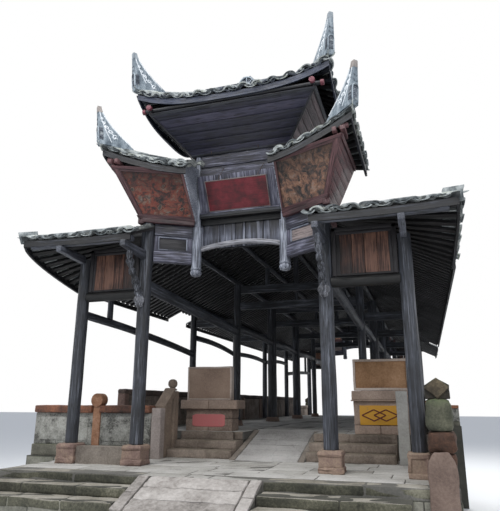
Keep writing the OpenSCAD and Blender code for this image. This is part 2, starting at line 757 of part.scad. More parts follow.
// Horn in its own upright plane: a hollow inner edge, a leaning outer edge, and sides that
// draw together towards the tip. Its foot follows the hip, which climbs inwards.
module horn(h, hip_slope) {
    steps = 10;
    foot = 680;
    tip = [70, 150];
    base_w = 190;
    tip_w = 84;
    intersection() {
        rotate([90, 0, 0]) translate([0, 0, -base_w / 2]) linear_extrude(base_w) polygon(concat(
            [for (i = [0 : steps]) let (t = i / steps)
                [tip[0] - (foot + tip[0]) * pow(1 - t, 1.6), mix(foot * hip_slope + 50, h, t)]],
            [[tip[1], h], [100, h * 0.4], [75, h * 0.12], [50, seat], [0, seat],
                [-foot, foot * hip_slope + seat]]));
        slab_x(-foot - 5, tip[1] + 5, [
            [-base_w / 2, -100], [base_w / 2, -100], [tip_w / 2, h + 10], [-tip_w / 2, h + 10]]);
    }
}

module roof_horns() {
    depth = box_mid + top_eave_y;
    first_x = (top_eave_x - top_ridge_half) / 3;
    first_y = (depth - 60) / 3;
    first_z = (ridge_rise - top_sweep) / 3 - roof_sag * sin(60);
    wing_corner = wing_eave(0.6);
    wing_next = mix(wing_corner, wing_crest(0.6), 1 / 3) - [0, 0, roof_sag * sin(60)];
    wing_run = wing_corner - wing_next;
    color("lightgray") both_ends() {
        for (sx = [-1, 1], sy = [-1, 1])
            translate([sx * top_eave_x, box_mid + sy * depth, top_eave_z + roof_t + top_sweep])
                rotate([0, 0, atan2(sy * first_y, sx * first_x)]) horn(horn_h, first_z / norm([first_x, first_y]));
        both_sides() translate(wing_corner) rotate([0, 0, atan2(wing_run.y, wing_run.x)])
            horn(horn_h * 0.95, -wing_run.z / norm([wing_run.x, wing_run.y]));
    }
}

module side_panels() {
    inner = main_x + gate_col_d / 2 + 4;
    outer = outer_x - gate_col_d / 2 + 6;
    color("sienna") both_ends() both_sides() {
        span_box([inner, -22, 3450], [outer, 22, 4390]);
        for (x = [inner, outer - 80]) span_box([x, -45, 3450], [x + 80, 45, 4390]);
        span_box([inner, -45, 4320], [outer, 45, 4400]);
    }
}

// Lowest roofs of the gateway: they turn the corner and meet the gallery roof.
side_eave_z = 4470;
function side_eave(u) = u <= 0.5
    ? [mix(1780, eave_x + 60, u / 0.5), -950, side_eave_z + 60 * pow(u / 0.5, 3)]
    : [mix(eave_x + 60, eave_x, (u - 0.5) / 0.5), mix(-950, gallery_start, (u - 0.5) / 0.5),
        mix(side_eave_z + 60, eave_z + roof_t, pow((u - 0.5) / 0.5, 0.6))];
function side_crest(u) = [mix(1780, main_x + 240, u), mix(160, gallery_start, u),
    mix(side_eave_z + 480, eave_z + roof_t + (eave_x - main_x - 240) * tan(roof_slope), u)];

module side_roofs() {
    n = 13;
    m = len(roof_vs);
    top = [for (i = [0 : n - 1], v = roof_vs) mix(side_eave(i / (n - 1)), side_crest(i / (n - 1)), v)];
    low = [for (i = [0 : n - 1], j = [0 : m - 1]) top[i * m + j] - [0, 0, roof_drops[j]]];
    color("darkslategray") both_ends() both_sides() difference() {
        sheet(low, top, n, m);
        translate([main_x, 0, 0]) cylinder(h = 6000, d = gate_col_d + 8);
    }
}

// Arms and eave logs in front of the gateway columns, with carved struts on the main ones.
module eave_brackets() {
    r = gate_col_d / 2;
    color("slategray") both_ends() both_sides() {
        for (x = [main_x, outer_x]) {
            back = x == outer_x ? r - 10 : r;
            slab_x(x - 60, x + 60, [
                [-1000, arm_z], [-back, arm_z - 60], [-back, arm_z + 120], [-1000, arm_z + 120]]);
        }
        slab_x(main_x - 50, main_x + 50, [
            [-r, arm_z - 1070], [-r - 60, arm_z - 1090], [-r - 150, arm_z - 1010], [-r - 150, arm_z - 890],
            [-r - 90, arm_z - 800], [-420, arm_z - 570], [-640, arm_z - 430], [-780, arm_z - 230],
            [-800, arm_z + 2], [-640, arm_z - 16], [-560, arm_z - 190],
            [-430, arm_z - 330], [-r, arm_z - 710]]);
        translate([main_x, -r - 80, arm_z - 960]) sphere(d = 230);
        log_x(main_x - 130, eave_x - 150, -830, arm_z + 120 + 62, 130);
    }
}

arch_barrel();
spandrel_walls();
arch_fill();
front_abutment();
rear_abutment();
terrace_paving();
deck_paving();
centre_ramps();
deck_steps();
street_steps();
street_ramps();
bank_parapets();
climbing_parapets();
side_parapets();
end_posts();
left_stele();
right_stele();
column_plinths();
gate_sills();
gate_main_columns();
gate_outer_columns();
inner_columns();
aisle_columns();
tie_beams();
aisle_beams();
inner_logs();
outer_logs();
low_rails();
short_posts();
purlins();
gallery_roof();
gallery_ridge();
hanging_posts();
wing_frames();
wing_flares();
wing_roofs();
centre_box();
lintel_screen();
plaque();
top_flares();
top_roof();
roof_horns();
side_panels();
side_roofs();
eave_brackets();
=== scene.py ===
import json
import math
from functools import partial
from typing import NamedTuple

import bpy
import numpy as np
from mathutils import Matrix, Vector

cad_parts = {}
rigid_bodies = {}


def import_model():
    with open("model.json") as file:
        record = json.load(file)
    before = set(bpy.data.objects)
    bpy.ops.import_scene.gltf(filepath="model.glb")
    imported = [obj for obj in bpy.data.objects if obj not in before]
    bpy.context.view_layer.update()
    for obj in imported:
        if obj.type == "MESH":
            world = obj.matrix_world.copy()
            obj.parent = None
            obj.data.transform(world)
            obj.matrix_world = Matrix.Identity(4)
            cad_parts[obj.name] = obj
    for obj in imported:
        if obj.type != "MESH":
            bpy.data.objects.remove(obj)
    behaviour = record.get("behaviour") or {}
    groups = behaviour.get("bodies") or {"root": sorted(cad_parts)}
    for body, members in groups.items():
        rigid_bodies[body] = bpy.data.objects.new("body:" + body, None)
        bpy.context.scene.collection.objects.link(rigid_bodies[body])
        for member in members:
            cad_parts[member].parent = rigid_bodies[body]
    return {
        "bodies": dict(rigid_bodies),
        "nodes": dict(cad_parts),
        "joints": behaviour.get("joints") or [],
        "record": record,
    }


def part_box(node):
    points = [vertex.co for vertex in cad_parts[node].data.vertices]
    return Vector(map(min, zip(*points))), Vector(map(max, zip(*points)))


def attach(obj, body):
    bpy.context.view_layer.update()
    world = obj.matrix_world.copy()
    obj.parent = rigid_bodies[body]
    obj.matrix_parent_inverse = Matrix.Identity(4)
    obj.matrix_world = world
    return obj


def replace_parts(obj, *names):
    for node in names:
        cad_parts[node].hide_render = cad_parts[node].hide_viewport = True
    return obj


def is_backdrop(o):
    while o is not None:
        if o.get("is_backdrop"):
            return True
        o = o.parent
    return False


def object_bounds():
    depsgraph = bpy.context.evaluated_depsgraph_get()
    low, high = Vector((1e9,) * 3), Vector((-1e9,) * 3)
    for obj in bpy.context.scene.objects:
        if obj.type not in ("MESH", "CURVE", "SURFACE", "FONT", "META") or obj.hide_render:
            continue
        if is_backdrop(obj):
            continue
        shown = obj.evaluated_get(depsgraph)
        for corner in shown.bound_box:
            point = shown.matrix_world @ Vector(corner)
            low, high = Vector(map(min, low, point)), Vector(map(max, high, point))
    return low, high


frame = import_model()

cad_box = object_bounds()
nodes = frame["nodes"]

# Camera: someone standing on the street in front of the gateway, to the right of its middle,
# looking up. Its place is given from the middle of the gateway at the terrace's height.
terrace_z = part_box("terrace_paving")[1].z
gate_column_r = 0.1375
gate_y = -(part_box("gate_main_columns")[1].y - gate_column_r)
focal_px = 538.87
frame_long_side_px = 511
eye = Vector((3.539, -9.877, 1.152))
yaw, pitch, roll = (math.radians(a) for a in (17.593, 15.361, 0.189))
camera = bpy.data.objects.new("camera", bpy.data.cameras.new("camera"))
bpy.context.scene.collection.objects.link(camera)
camera.data.sensor_width = 36.0
camera.data.lens = focal_px * camera.data.sensor_width / frame_long_side_px
camera.data.clip_end = 500
camera.matrix_world = (
    Matrix.Translation(eye + Vector((0, gate_y, terrace_z)))
    @ Matrix.Rotation(yaw, 4, "Z")
    @ Matrix.Rotation(math.pi / 2 + pitch, 4, "X")
    @ Matrix.Rotation(roll, 4, "Z")
)
bpy.context.scene.camera = camera
bpy.context.scene.view_settings.view_transform = "Standard"


# Studio: a pale matt floor, a white surround for what the camera and reflections see beyond
# it, and a dim even sky with large soft lamps above both ends of the bridge.
def colour(code):
    """An sRGB hex colour as linear red, green, blue and alpha."""
    parts = [int(code[i:i + 2], 16) / 255 for i in (1, 3, 5)]
    return [c / 12.92 if c <= 0.04045 else ((c + 0.055) / 1.055) ** 2.4 for c in parts] + [1.0]


def add_node(tree, kind, inputs, stops=None, **settings):
    """Adds a shader node, sets its settings, and gives each input a value or a link. A node
    given as an input stands for its first output."""
    made = tree.nodes.new("ShaderNode" + kind)
    for key, value in settings.items():
        setattr(made, key, value)
    if stops:
        ramp = made.color_ramp.elements
        while len(ramp) < len(stops):
            ramp.new(0.5)
        for element, (at, code) in zip(ramp, stops.items()):
            element.position = at
            element.color = colour(code)
    for key, value in inputs.items():
        value = value.outputs[0] if isinstance(value, bpy.types.Node) else value
        if isinstance(value, bpy.types.NodeSocket):
            tree.links.new(value, made.inputs[key])
        else:
            made.inputs[key].default_value = value
    return made


def new_finish(name):
    """An empty material, the function that adds a node to it, and a point's own place."""
    finish = bpy.data.materials.new(name)
    finish.use_nodes = True
    finish.node_tree.nodes.clear()
    node = partial(add_node, finish.node_tree)
    return finish, node, node("TexCoord", {}).outputs["Object"]


floor_finish, node, _ = new_finish("pale_studio_floor")
drift = node("TexNoise", {"Scale": 0.4, "Detail": 2.0})
shade = node("ValToRGB", {"Fac": drift}, stops={0.3: "#ebebe9", 0.7: "#f1f1ef"})
matt = node("BsdfPrincipled", {"Base Color": shade, "Roughness": 0.9})
node("OutputMaterial", {"Surface": matt})
floor = bpy.data.objects.new("studio_floor", bpy.data.meshes.new("studio_floor"))
floor.data.from_pydata([(-250, -250, 0), (250, -250, 0), (250, 250, 0), (-250, 250, 0)], [], [(0, 1, 2, 3)])
floor.data.materials.append(floor_finish)
bpy.context.scene.collection.objects.link(floor)
floor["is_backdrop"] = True

sky = bpy.data.worlds.new("studio_sky")
bpy.context.scene.world = sky
sky.use_nodes = True
sky.node_tree.nodes.clear()
node = partial(add_node, sky.node_tree)
rays = node("LightPath", {})
seen = node("Math", {0: rays.outputs["Is Camera Ray"], 1: rays.outputs["Is Glossy Ray"]}, operation="MAXIMUM")
seen = node("Math", {0: seen, 1: rays.outputs["Is Transmission Ray"]}, operation="MAXIMUM")
dim = node("Background", {"Color": colour("#dbe3f2"), "Strength": 0.62})
white = node("Background", {"Color": (1, 1, 1, 1), "Strength": 1.0})
both = node("MixShader", {0: seen, 1: dim, 2: white})
node("OutputWorld", {"Surface": both})

for name, place, size, watts in (
    ("front_lamp", (-5, -27, 32), 18, 7600), ("right_front_lamp", (16, -30, 24), 16, 2200),
    ("rear_lamp", (5, 27, 32), 18, 7600), ("left_rear_lamp", (-16, 30, 24), 16, 2200),
):
    lamp = bpy.data.objects.new(name, bpy.data.lights.new(name, "AREA"))
    lamp.data.size = size
    lamp.data.energy = watts
    lamp.location = place
    aim = Vector((0, math.copysign(8, place[1]), 7)) - lamp.location
    lamp.rotation_euler = aim.to_track_quat("-Z", "Y").to_euler()
    bpy.context.scene.collection.objects.link(lamp)


# Masonry: one segmental arch of dressed grey sandstone between solid abutments, laid in lime
# mortar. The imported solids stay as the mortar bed, and each stone stands a little proud of it.
def closed(finish, node, base, rough, height, strength, reach):
    """Closes a finish with its colour, its roughness and a fine relief: the height times the
    reach in metres, weakened by the strength."""
    relief = node("Bump", {"Height": height, "Strength": strength, "Distance": reach})
    skin = node("BsdfPrincipled", {"Base Color": base, "Roughness": rough, "Normal": relief})
    node("OutputMaterial", {"Surface": skin})
    return finish


def stone(name, stops, stain_mm=700, grit_mm=34, moss=0.0, moss_code="#4d5638", bump=0.5, crack_mm=0, riser=None):
    """Worn sandstone: broad stains, coarse grit, a tone of its own for each block, moss on
    faces that look up, long cracks, and other, darker tones for upright faces. Real grit is
    finer than a pixel, so it is drawn coarser."""
    finish, node, place = new_finish(name)
    stain = node("TexNoise", {"Vector": place, "Scale": 1000 / stain_mm, "Detail": 7.0, "Roughness": 0.62})
    grit = node("TexNoise", {"Vector": place, "Scale": 1000 / grit_mm, "Detail": 4.0, "Roughness": 0.7})
    block = node("Attribute", {}, attribute_name="tone")
    level = node("Math", {0: grit, 1: 0.62, 2: stain}, operation="MULTIPLY_ADD")
    level = node("Math", {0: level, 1: block.outputs["Fac"]}, operation="ADD")
    level = node("Math", {0: level, 1: 0.31}, operation="SUBTRACT")
    base = node("ValToRGB", {"Fac": level}, stops=stops)
    if moss:
        up = node("SeparateXYZ", {0: node("NewGeometry", {}).outputs["Normal"]})
        patch = node("TexNoise", {"Vector": place, "Scale": 2.6, "Detail": 6.0, "Roughness": 0.7})
        wet = node("Math", {0: up.outputs["Z"], 1: 0.35, 2: patch}, operation="MULTIPLY_ADD")
        mask = node("MapRange", {"Value": wet, "From Min": 0.55, "From Max": 0.85, "To Max": moss})
        base = node("Mix", {0: mask, 6: base, 7: colour(moss_code)}, data_type="RGBA").outputs[2]
    if crack_mm:
        drift = node("Mix", {0: 0.35, 4: place, 5: stain.outputs["Color"]}, data_type="VECTOR")
        cell = node("TexVoronoi", {"Vector": drift.outputs[1], "Scale": 1000 / crack_mm}, feature="DISTANCE_TO_EDGE")
        line = node("MapRange", {"Value": cell.outputs["Distance"], "From Max": 0.01, "To Min": 0.8, "To Max": 1.0})
        base = node("Mix", {0: 1.0, 6: base, 7: line}, data_type="RGBA", blend_type="MULTIPLY").outputs[2]
    # Upright faces take the riser tones, darker than the faces that look up.
    if riser:
        up = node("SeparateXYZ", {0: node("NewGeometry", {}).outputs["Normal"]}).outputs["Z"]
        stand = node("MapRange", {"Value": up, "From Min": 0.3, "From Max": 0.85, "To Min": 0.95, "To Max": 0.0})
        upright_tones = node("ValToRGB", {"Fac": level}, stops=riser)
        base = node("Mix", {0: stand, 6: base, 7: upright_tones}, data_type="RGBA").outputs[2]
    return closed(finish, node, base, 0.86, level, bump, 0.02)


def xyz(x, y, z):
    """Points from their three coordinates, each a number or an array."""
    return np.stack(np.broadcast_arrays(x, y, z), -1)


def unit(vectors):
    """The same directions, each one metre long."""
    return vectors / np.linalg.norm(vectors, axis=-1, keepdims=True)


def grid(rows, columns):
    """Row number and column number of each place in a grid."""
    return (g.ravel() for g in np.meshgrid(np.arange(rows), np.arange(columns), indexing="ij"))


def skin_of_box(cuts):
    """Lattice places of the points on a box's skin, and the skin's quads, facing outwards."""
    count = cuts + 1
    lattice = np.stack(np.meshgrid(*[np.arange(count)] * 3, indexing="ij"), -1).reshape(-1, 3)
    on_skin = ((lattice == 0) | (lattice == cuts)).any(1)
    number = np.full((count,) * 3, -1)
    number[tuple(lattice[on_skin].T)] = np.arange(on_skin.sum())
    a, b = grid(cuts, cuts)
    quads = []
    for axis in range(3):
        for side in (0, cuts):
            ring = []
            for da, db in ((0, 0), (1, 0), (1, 1), (0, 1)):
                at = [None] * 3
                at[axis], at[(axis + 1) % 3], at[(axis + 2) % 3] = np.full(a.shape, side), a + da, b + db
                ring.append(number[tuple(at)])
            quads.append(np.stack(ring if side else ring[::-1], 1))
    return lattice[on_skin], np.concatenate(quads)


def blocks(low, high, edge=0.012, cuts=3):
    """Blocks with eased edges: each point of a box's skin is drawn back to the core that lies
    one edge inside it, then set one edge off that core."""
    low, high = (np.atleast_2d(np.asarray(v, float)) for v in (low, high))
    ease = np.minimum(edge, (high - low).min(1) * 0.49)[:, None]
    share = np.linspace(0, 1, cuts - 1)
    inner = (low + ease)[..., None] + (high - low - 2 * ease)[..., None] * share
    lines = np.concatenate([low[..., None], inner, high[..., None]], -1)
    places, quads = skin_of_box(cuts)
    points = np.stack([lines[:, axis, places[:, axis]] for axis in range(3)], -1)
    core = np.clip(points, (low + ease)[:, None], (high - ease)[:, None])
    off = points - core
    length = np.maximum(np.linalg.norm(off, axis=-1, keepdims=True), 1e-9)
    return core + off / length * ease[:, None], quads


rng = np.random.default_rng(11)


class Part(NamedTuple):
    """A stretch of surface: its points, its faces, a tone for each point, and where each
    point lay in its own plank, log or stone, with the long way last."""
    points: np.ndarray
    faces: list
    tone: np.ndarray
    laid: np.ndarray


def joined(points, quads, spread=0.09):
    """Many like shapes as one part, each with a tone of its own."""
    count, each = points.shape[:2]
    faces = (quads[None] + (np.arange(count) * each)[:, None, None]).reshape(-1, quads.shape[1])
    order = np.argsort(np.ptp(points, axis=1), axis=1)[:, None]
    laid = np.take_along_axis(points, np.broadcast_to(order, points.shape), 2) + rng.uniform(0, 40, (count, 1, 3))
    return Part(points.reshape(-1, 3), [faces], np.repeat(rng.uniform(-spread, spread, count), each),
        laid.reshape(-1, 3))


def worn(points, size, depth, seed=1):
    """Moves points by a smooth field: sines along random directions, `size` metres from
    swell to swell, in three octaves of falling depth."""
    field = np.random.default_rng(seed)
    out = np.array(points, float)
    for octave in range(3):
        waves = field.normal(size=(6, 3)) * 2 ** octave * 3.7 / size
        turn = field.uniform(0, 6.28, (6, 3))
        phase = points @ waves.T
        for axis in range(3):
            out[..., axis] += np.sin(phase + turn[:, axis]).sum(-1) * depth / 2 ** octave / 2.4
    return out


def plain_blocks(low, high, edge=0.012, cuts=3, spread=0.09):
    """Blocks with eased edges, as one part."""
    return joined(*blocks(low, high, edge, cuts), spread)


def worn_blocks(low, high, edge, cuts, size, depth, seed, spread=0.09):
    """Blocks with eased edges and a worn skin, as one part."""
    points, quads = blocks(low, high, edge, cuts)
    return joined(worn(points, size, depth, seed), quads, spread)


def moved(part, offset):
    """The same part further on."""
    return part._replace(points=part.points + offset)


def mirrored(part):
    """The same part on the other side of the bridge's middle."""
    return part._replace(points=part.points * (-1, 1, 1), faces=[f[:, ::-1] for f in part.faces])


def turned_round(part):
    """The same part at the far end: the bridge looks alike from both."""
    return part._replace(points=part.points * (-1, -1, 1))


def at_gates(*parts):
    """Parts drawn from the middle of the near gateway on its terrace, at both ends."""
    near = [moved(part, (0, gate_y, terrace_z)) for part in parts]
    return near + [turned_round(part) for part in near]


def both_sides(parts):
    """Parts with their mirror images."""
    return list(parts) + [mirrored(part) for part in parts]


def far_too(parts):
    """Parts drawn in place at the near end, with their twins at the far end."""
    return list(parts) + [turned_round(part) for part in parts]


def paired(*parts):
    """Parts of one half of the near gateway, on both its sides and at both ends."""
    return at_gates(*both_sides(parts))


crease = math.radians(38)


def add_piece(name, parts, finish):
    """Puts parts into one mesh that rides on the bridge and takes its finish."""
    mesh = bpy.data.meshes.new(name)
    points = np.clip(np.concatenate([p.points for p in parts]), *[list(corner) for corner in cad_box])
    starts = np.cumsum([0] + [len(p.points) for p in parts])
    groups = [f + start for p, start in zip(parts, starts) for f in p.faces]
    corners = np.concatenate([f.ravel() for f in groups]).astype(np.int32)
    sizes = np.concatenate([np.full(len(f), f.shape[1]) for f in groups]).astype(np.int32)
    mesh.vertices.add(len(points))
    mesh.vertices.foreach_set("co", points.ravel().astype(np.float32))
    mesh.loops.add(len(corners))
    mesh.loops.foreach_set("vertex_index", corners)
    mesh.polygons.add(len(sizes))
    mesh.polygons.foreach_set("loop_start", np.concatenate([[0], np.cumsum(sizes)[:-1]]).astype(np.int32))
    mesh.polygons.foreach_set("use_smooth", np.ones(len(sizes), bool))
    mesh.update(calc_edges=True)
    tone = mesh.attributes.new("tone", "FLOAT", "POINT")
    tone.data.foreach_set("value", np.concatenate([p.tone for p in parts]).astype(np.float32))
    laid = mesh.attributes.new("laid", "FLOAT_VECTOR", "POINT")
    laid.data.foreach_set("vector", np.concatenate([p.laid for p in parts]).ravel().astype(np.float32))
    mesh.set_sharp_from_angle(angle=crease)
    mesh.materials.append(finish)
    piece = bpy.data.objects.new(name, mesh)
    bpy.context.scene.collection.objects.link(piece)
    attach(piece, "root")
    return piece


def dress(finish, *names):
    """Gives CAD nodes whose shape is right their real finish."""
    for name in names:
        for slot in nodes[name].material_slots:
            slot.material = finish


def coursed(length, height, course, stone_length, seed, joint=0.012):
    """Lowest and highest corners of stones in level courses, with uneven upright joints."""
    field = np.random.default_rng(seed)
    low, high = [], []
    levels = np.linspace(0, height, max(1, round(height / course)) + 1)
    for z0, z1 in zip(levels, levels[1:]):
        count = max(1, round(length / stone_length))
        cuts = np.linspace(0, length, count + 1)
        cuts[1:-1] += field.uniform(-0.32, 0.32, count - 1) * length / count
        low += [(s + joint / 2, z0 + joint / 2) for s in cuts[:-1]]
        high += [(s - joint / 2, z1 - joint / 2) for s in cuts[1:]]
    return np.array(low), np.array(high)


def stone_face(length, height, place, axis, course=0.32, stone_length=0.72, seed=3):
    """A coursed face: along the axis from a place, looking to -Y for x and to +X for y."""
    low, high = coursed(length, height, course, stone_length, seed)
    proud = np.random.default_rng(seed).uniform(0.006, 0.015, len(low))
    if axis == "x":
        low3 = xyz(low[:, 0], -proud, low[:, 1])
        high3 = xyz(high[:, 0], 0.05, high[:, 1])
    else:
        low3 = xyz(-0.05, low[:, 0], low[:, 1])
        high3 = xyz(proud, high[:, 0], high[:, 1])
    points, quads = blocks(low3, high3, 0.016)
    points = worn(points + np.asarray(place), 0.25, 0.003, seed)
    return joined(points, quads)


grey_stops = {0.2: "#4b4a43", 0.42: "#6b6a60", 0.62: "#858378", 0.85: "#9b988c"}
grey_stone = stone("dressed_grey_sandstone", grey_stops, moss=0.5)
mortar = stone("lime_mortar_bed", {0.25: "#34342f", 0.6: "#4b4a43", 0.85: "#5c5b52"})
dress(mortar, "arch_barrel", "arch_fill", "spandrel_walls", "front_abutment", "rear_abutment", "street_steps")

span, rise, ring, springing, half_width = 10.4, 3.3, 0.48, 0.33, 3.9
arch_r = (span ** 2 / 4 + rise ** 2) / (2 * rise)
arch_mid = springing + rise - arch_r
half_angle = math.asin(span / 2 / arch_r)
ring_count = 43
low, high = [], []
for k in range(ring_count):
    arc0, arc1 = ((2 * (k + d) / ring_count - 1) * half_angle * arch_r for d in (0, 1))
    cuts = np.linspace(-half_width - 0.014, half_width + 0.014, 10)
    cuts[1:-1] += rng.uniform(-0.25, 0.25, 8)
    for x0, x1 in zip(cuts, cuts[1:]):
        low.append((x0 + 0.005 * (x0 > -half_width), arc0 + 0.006, arch_r - 0.012 - rng.uniform(0, 0.006)))
        high.append((x1 - 0.005 * (x1 < half_width), arc1 - 0.006, arch_r + ring - 0.01))
points, quads = blocks(low, high, 0.014)
arc = points[..., 1] / arch_r
points = xyz(points[..., 0], points[..., 2] * np.sin(arc), arch_mid + points[..., 2] * np.cos(arc))
add_piece("arch_stones", [joined(worn(points, 0.3, 0.002), quads)], grey_stone)

# The side walls end on the back of the arch ring, so the last stone of each course is cut to it.
front_y = -1.32
street_end = abs(gate_y) - front_y
wall_top = terrace_z - 0.16
low, high = coursed(street_end, wall_top, 0.32, 0.72, 5)
middle = (low[:, 1] + high[:, 1]) / 2


def arch_back(z):
    """How far the masonry starts from the middle of the arch at a height."""
    lift = np.maximum(z - arch_mid, 0)
    return np.where(z < springing, span / 2, np.sqrt(np.maximum((arch_r + ring) ** 2 - lift ** 2, 0.0)))


keep = low[:, 0] < street_end - arch_back(middle) - 0.12
low, high = low[keep], high[keep]
reach = street_end - arch_back((low[:, 1] + high[:, 1]) / 2)
last = high[:, 0] > reach - 0.3
high[last, 0] = reach[last]
proud = rng.uniform(0.006, 0.015, len(low))
points, quads = blocks(xyz(3.85, low[:, 0] - street_end, low[:, 1]),
    xyz(half_width + proud, high[:, 0] - street_end, high[:, 1]), 0.016)
along = (points[..., 1] - points[..., 1].min(1, keepdims=True)) / np.ptp(points[..., 1], axis=1)[:, None]
cut = points[..., 1].min(1, keepdims=True) + along * (
    -arch_back(points[..., 2]) - 0.008 - points[..., 1].min(1, keepdims=True))
points[..., 1] = np.where(last[:, None], cut, points[..., 1])
side = joined(worn(points, 0.25, 0.003, 4), quads)
deck_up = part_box("deck_paving")[1].z - terrace_z
deck_from = 2.5
deck_z = terrace_z + deck_up
deck_end = abs(gate_y) - deck_from
over = stone_face(2 * deck_end, deck_up, (half_width, -deck_end, wall_top), "y", deck_up, 0.9, 8)
add_piece("side_wall_stones", [side, mirrored(side), turned_round(side), turned_round(mirrored(side)), over,
    mirrored(over)], grey_stone)
fronts = [
    stone_face(2 * half_width, wall_top, (-half_width, front_y, -terrace_z), "x", seed=9),
    stone_face(2.8, terrace_z - 0.31, (-half_width, -2.1, -terrace_z), "x", seed=10),
    stone_face(2.2, terrace_z - 0.31, (1.05, -2.1, -terrace_z), "x", seed=12),
    stone_face(2.142, terrace_z - 0.4, (-1.096, -2.202, -terrace_z), "x", seed=13),
    stone_face(1.34, terrace_z - 0.01, (-5.25, 1.04, -terrace_z), "x", seed=14),
]
add_piece("street_front_stones", at_gates(*fronts), grey_stone)


# Paving: big worn sandstone slabs bedded in sand. The terrace is laid across the bridge, the
# walkway along it, and the ramps between the steps have slabs between two narrow kerbs.
def slabs(length, depth, course, slab_length, place, seed, axis="x", cuts=4, wave=0.0035):
    """Slabs laid in rows along an axis, each a few millimetres out of level."""
    low, high = coursed(length, depth, course, slab_length, seed, 0.014)
    proud = 0.004
    level = np.random.default_rng(seed).uniform(-0.003, 0.004, len(low)) + proud
    order = (0, 1) if axis == "x" else (1, 0)
    low3 = xyz(low[:, order[0]], low[:, order[1]], -0.06)
    high3 = xyz(high[:, order[0]], high[:, order[1]], level)
    points, quads = blocks(low3, high3, 0.014, cuts)
    return joined(worn(points + np.asarray(place), 0.35, wave, seed), quads, 0.12)


sand_bed = stone("sandy_paving_bed", {0.25: "#4b4a46", 0.6: "#6b6963", 0.85: "#84817a"})
dress(sand_bed, "terrace_paving", "deck_paving")
worn_slab = stone("worn_paving_slabs", {0.18: "#78756f", 0.4: "#a29f99", 0.6: "#bab7b2", 0.85: "#ccc9c4"},
    stain_mm=900, moss=0.08, moss_code="#7b7a62", crack_mm=900)
add_piece("terrace_slabs", at_gates(slabs(2 * half_width, 3.53, 0.5, 1.15, (-half_width, -0.91, 0), 21, cuts=5),
    slabs(2.12, 0.4, 0.4, 0.8, (-1.085, -1.315, 0), 43)), worn_slab)
ramp_left, ramp_right, ramp_foot, ramp_head = -0.534, 1.09, 1.5, 3.4
deck = slabs(2 * (abs(gate_y) - ramp_head), 7.38, 0.49, 1.15, (-3.69, gate_y + ramp_head, deck_z), 22, "y", 3)
beside = [slabs(3.15, 0.9, 0.45, 1.05, (-3.69, deck_from, deck_up), 35),
    slabs(2.59, 0.9, 0.45, 0.86, (1.1, deck_from, deck_up), 36)]
add_piece("walkway_slabs", [deck] + at_gates(*beside), worn_slab)


def tilted(part, foot, angle):
    """Tilts a level part about a line across the bridge, its foot, given as (y, z)."""
    x, y, z = part.points.T
    c, s = math.cos(angle), math.sin(angle)
    return part._replace(points=xyz(x, foot[0] + y * c - z * s, foot[1] + y * s + z * c))


climb = math.atan2(deck_up, ramp_head - ramp_foot)
street_drop, street_run = 0.3825, 0.9
drop = math.atan2(street_drop, street_run)
ramp_len = math.hypot(deck_up, ramp_head - ramp_foot) - 0.01
kerb = 0.14
centre = [slabs(ramp_right - ramp_left - 2 * kerb, ramp_len, 0.33, 1.3, (ramp_left + kerb, 0, 0.006), 23, cuts=7),
    slabs(kerb, ramp_len, 0.65, 0.3, (ramp_left, 0, 0.012), 24),
    slabs(kerb, ramp_len, 0.65, 0.3, (ramp_right - kerb, 0, 0.012), 25)]
inner_slab = stone("inner_ramp_slabs", {0.18: "#65625f", 0.4: "#8f8c88", 0.6: "#a8a5a1", 0.85: "#bcb9b5"},
    stain_mm=900, crack_mm=700)
kerb_slab = stone("dark_ramp_kerbs", {0.18: "#403b36", 0.4: "#655d55", 0.6: "#80776d", 0.85: "#9a9187"})
street = [slabs(1.7, 0.972, 0.33, 1.7, (-0.87, 0, 0.008), 26, cuts=14, wave=0.01),
    slabs(0.2, 0.972, 0.49, 0.3, (-1.09, 0, 0.014), 27), slabs(0.2, 0.972, 0.49, 0.3, (0.84, 0, 0.014), 28)]
points, quads = blocks((-1.085, -2.195, -terrace_z), (1.035, -1.3, 0), 0.01, 6)
points[..., 2] = np.where(points[..., 2] > -0.5, (points[..., 1] + 2.22) / street_run * street_drop - 0.415,
    points[..., 2])
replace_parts(add_piece("street_ramp_core", at_gates(joined(points, quads)), sand_bed), "street_ramps")
add_piece("ramp_slabs", at_gates(tilted(centre[0], (ramp_foot, 0), climb)), inner_slab)
add_piece("ramp_kerbs", at_gates(*[tilted(p, (ramp_foot, 0), climb) for p in centre[1:]]), kerb_slab)
rough_slab = stone("rough_street_ramp", {0.18: "#625d58", 0.4: "#938d87", 0.6: "#b0aaa4", 0.85: "#c9c4be"},
    stain_mm=500, grit_mm=60, bump=1.0)
add_piece("street_ramp_slabs", at_gates(*[tilted(p, (-2.205, -street_drop), drop) for p in street]), rough_slab)
dress(sand_bed, "centre_ramps")

# Steps: squared stone treads, each in two or three lengths, rounded at the nose by feet.
step_stone = stone("foot_worn_steps", {0.2: "#4b423a", 0.42: "#72665b", 0.62: "#8c7f73", 0.85: "#a8998b"}, moss=0.2)


def treads(x0, x1, lines, count, rise_each, base, seed):
    """Treads from a list of nose places: each row of blocks spans from its nose to the next."""
    field = np.random.default_rng(seed)
    low, high = [], []
    for k, (nose, back) in enumerate(zip(lines, lines[1:])):
        cuts = np.linspace(x0, x1, count + 1)
        cuts[1:-1] += field.uniform(-0.2, 0.2, count - 1)
        for a, b in zip(cuts, cuts[1:]):
            low.append((a + 0.004, nose - 0.012 - field.uniform(0, 0.008), base + k * rise_each))
            high.append((b - 0.004, back + 0.05, base + (k + 1) * rise_each + 0.004 - field.uniform(0, 0.004)))
    return worn_blocks(low, high, 0.028, 6, 0.3, 0.006, seed, 0.1)


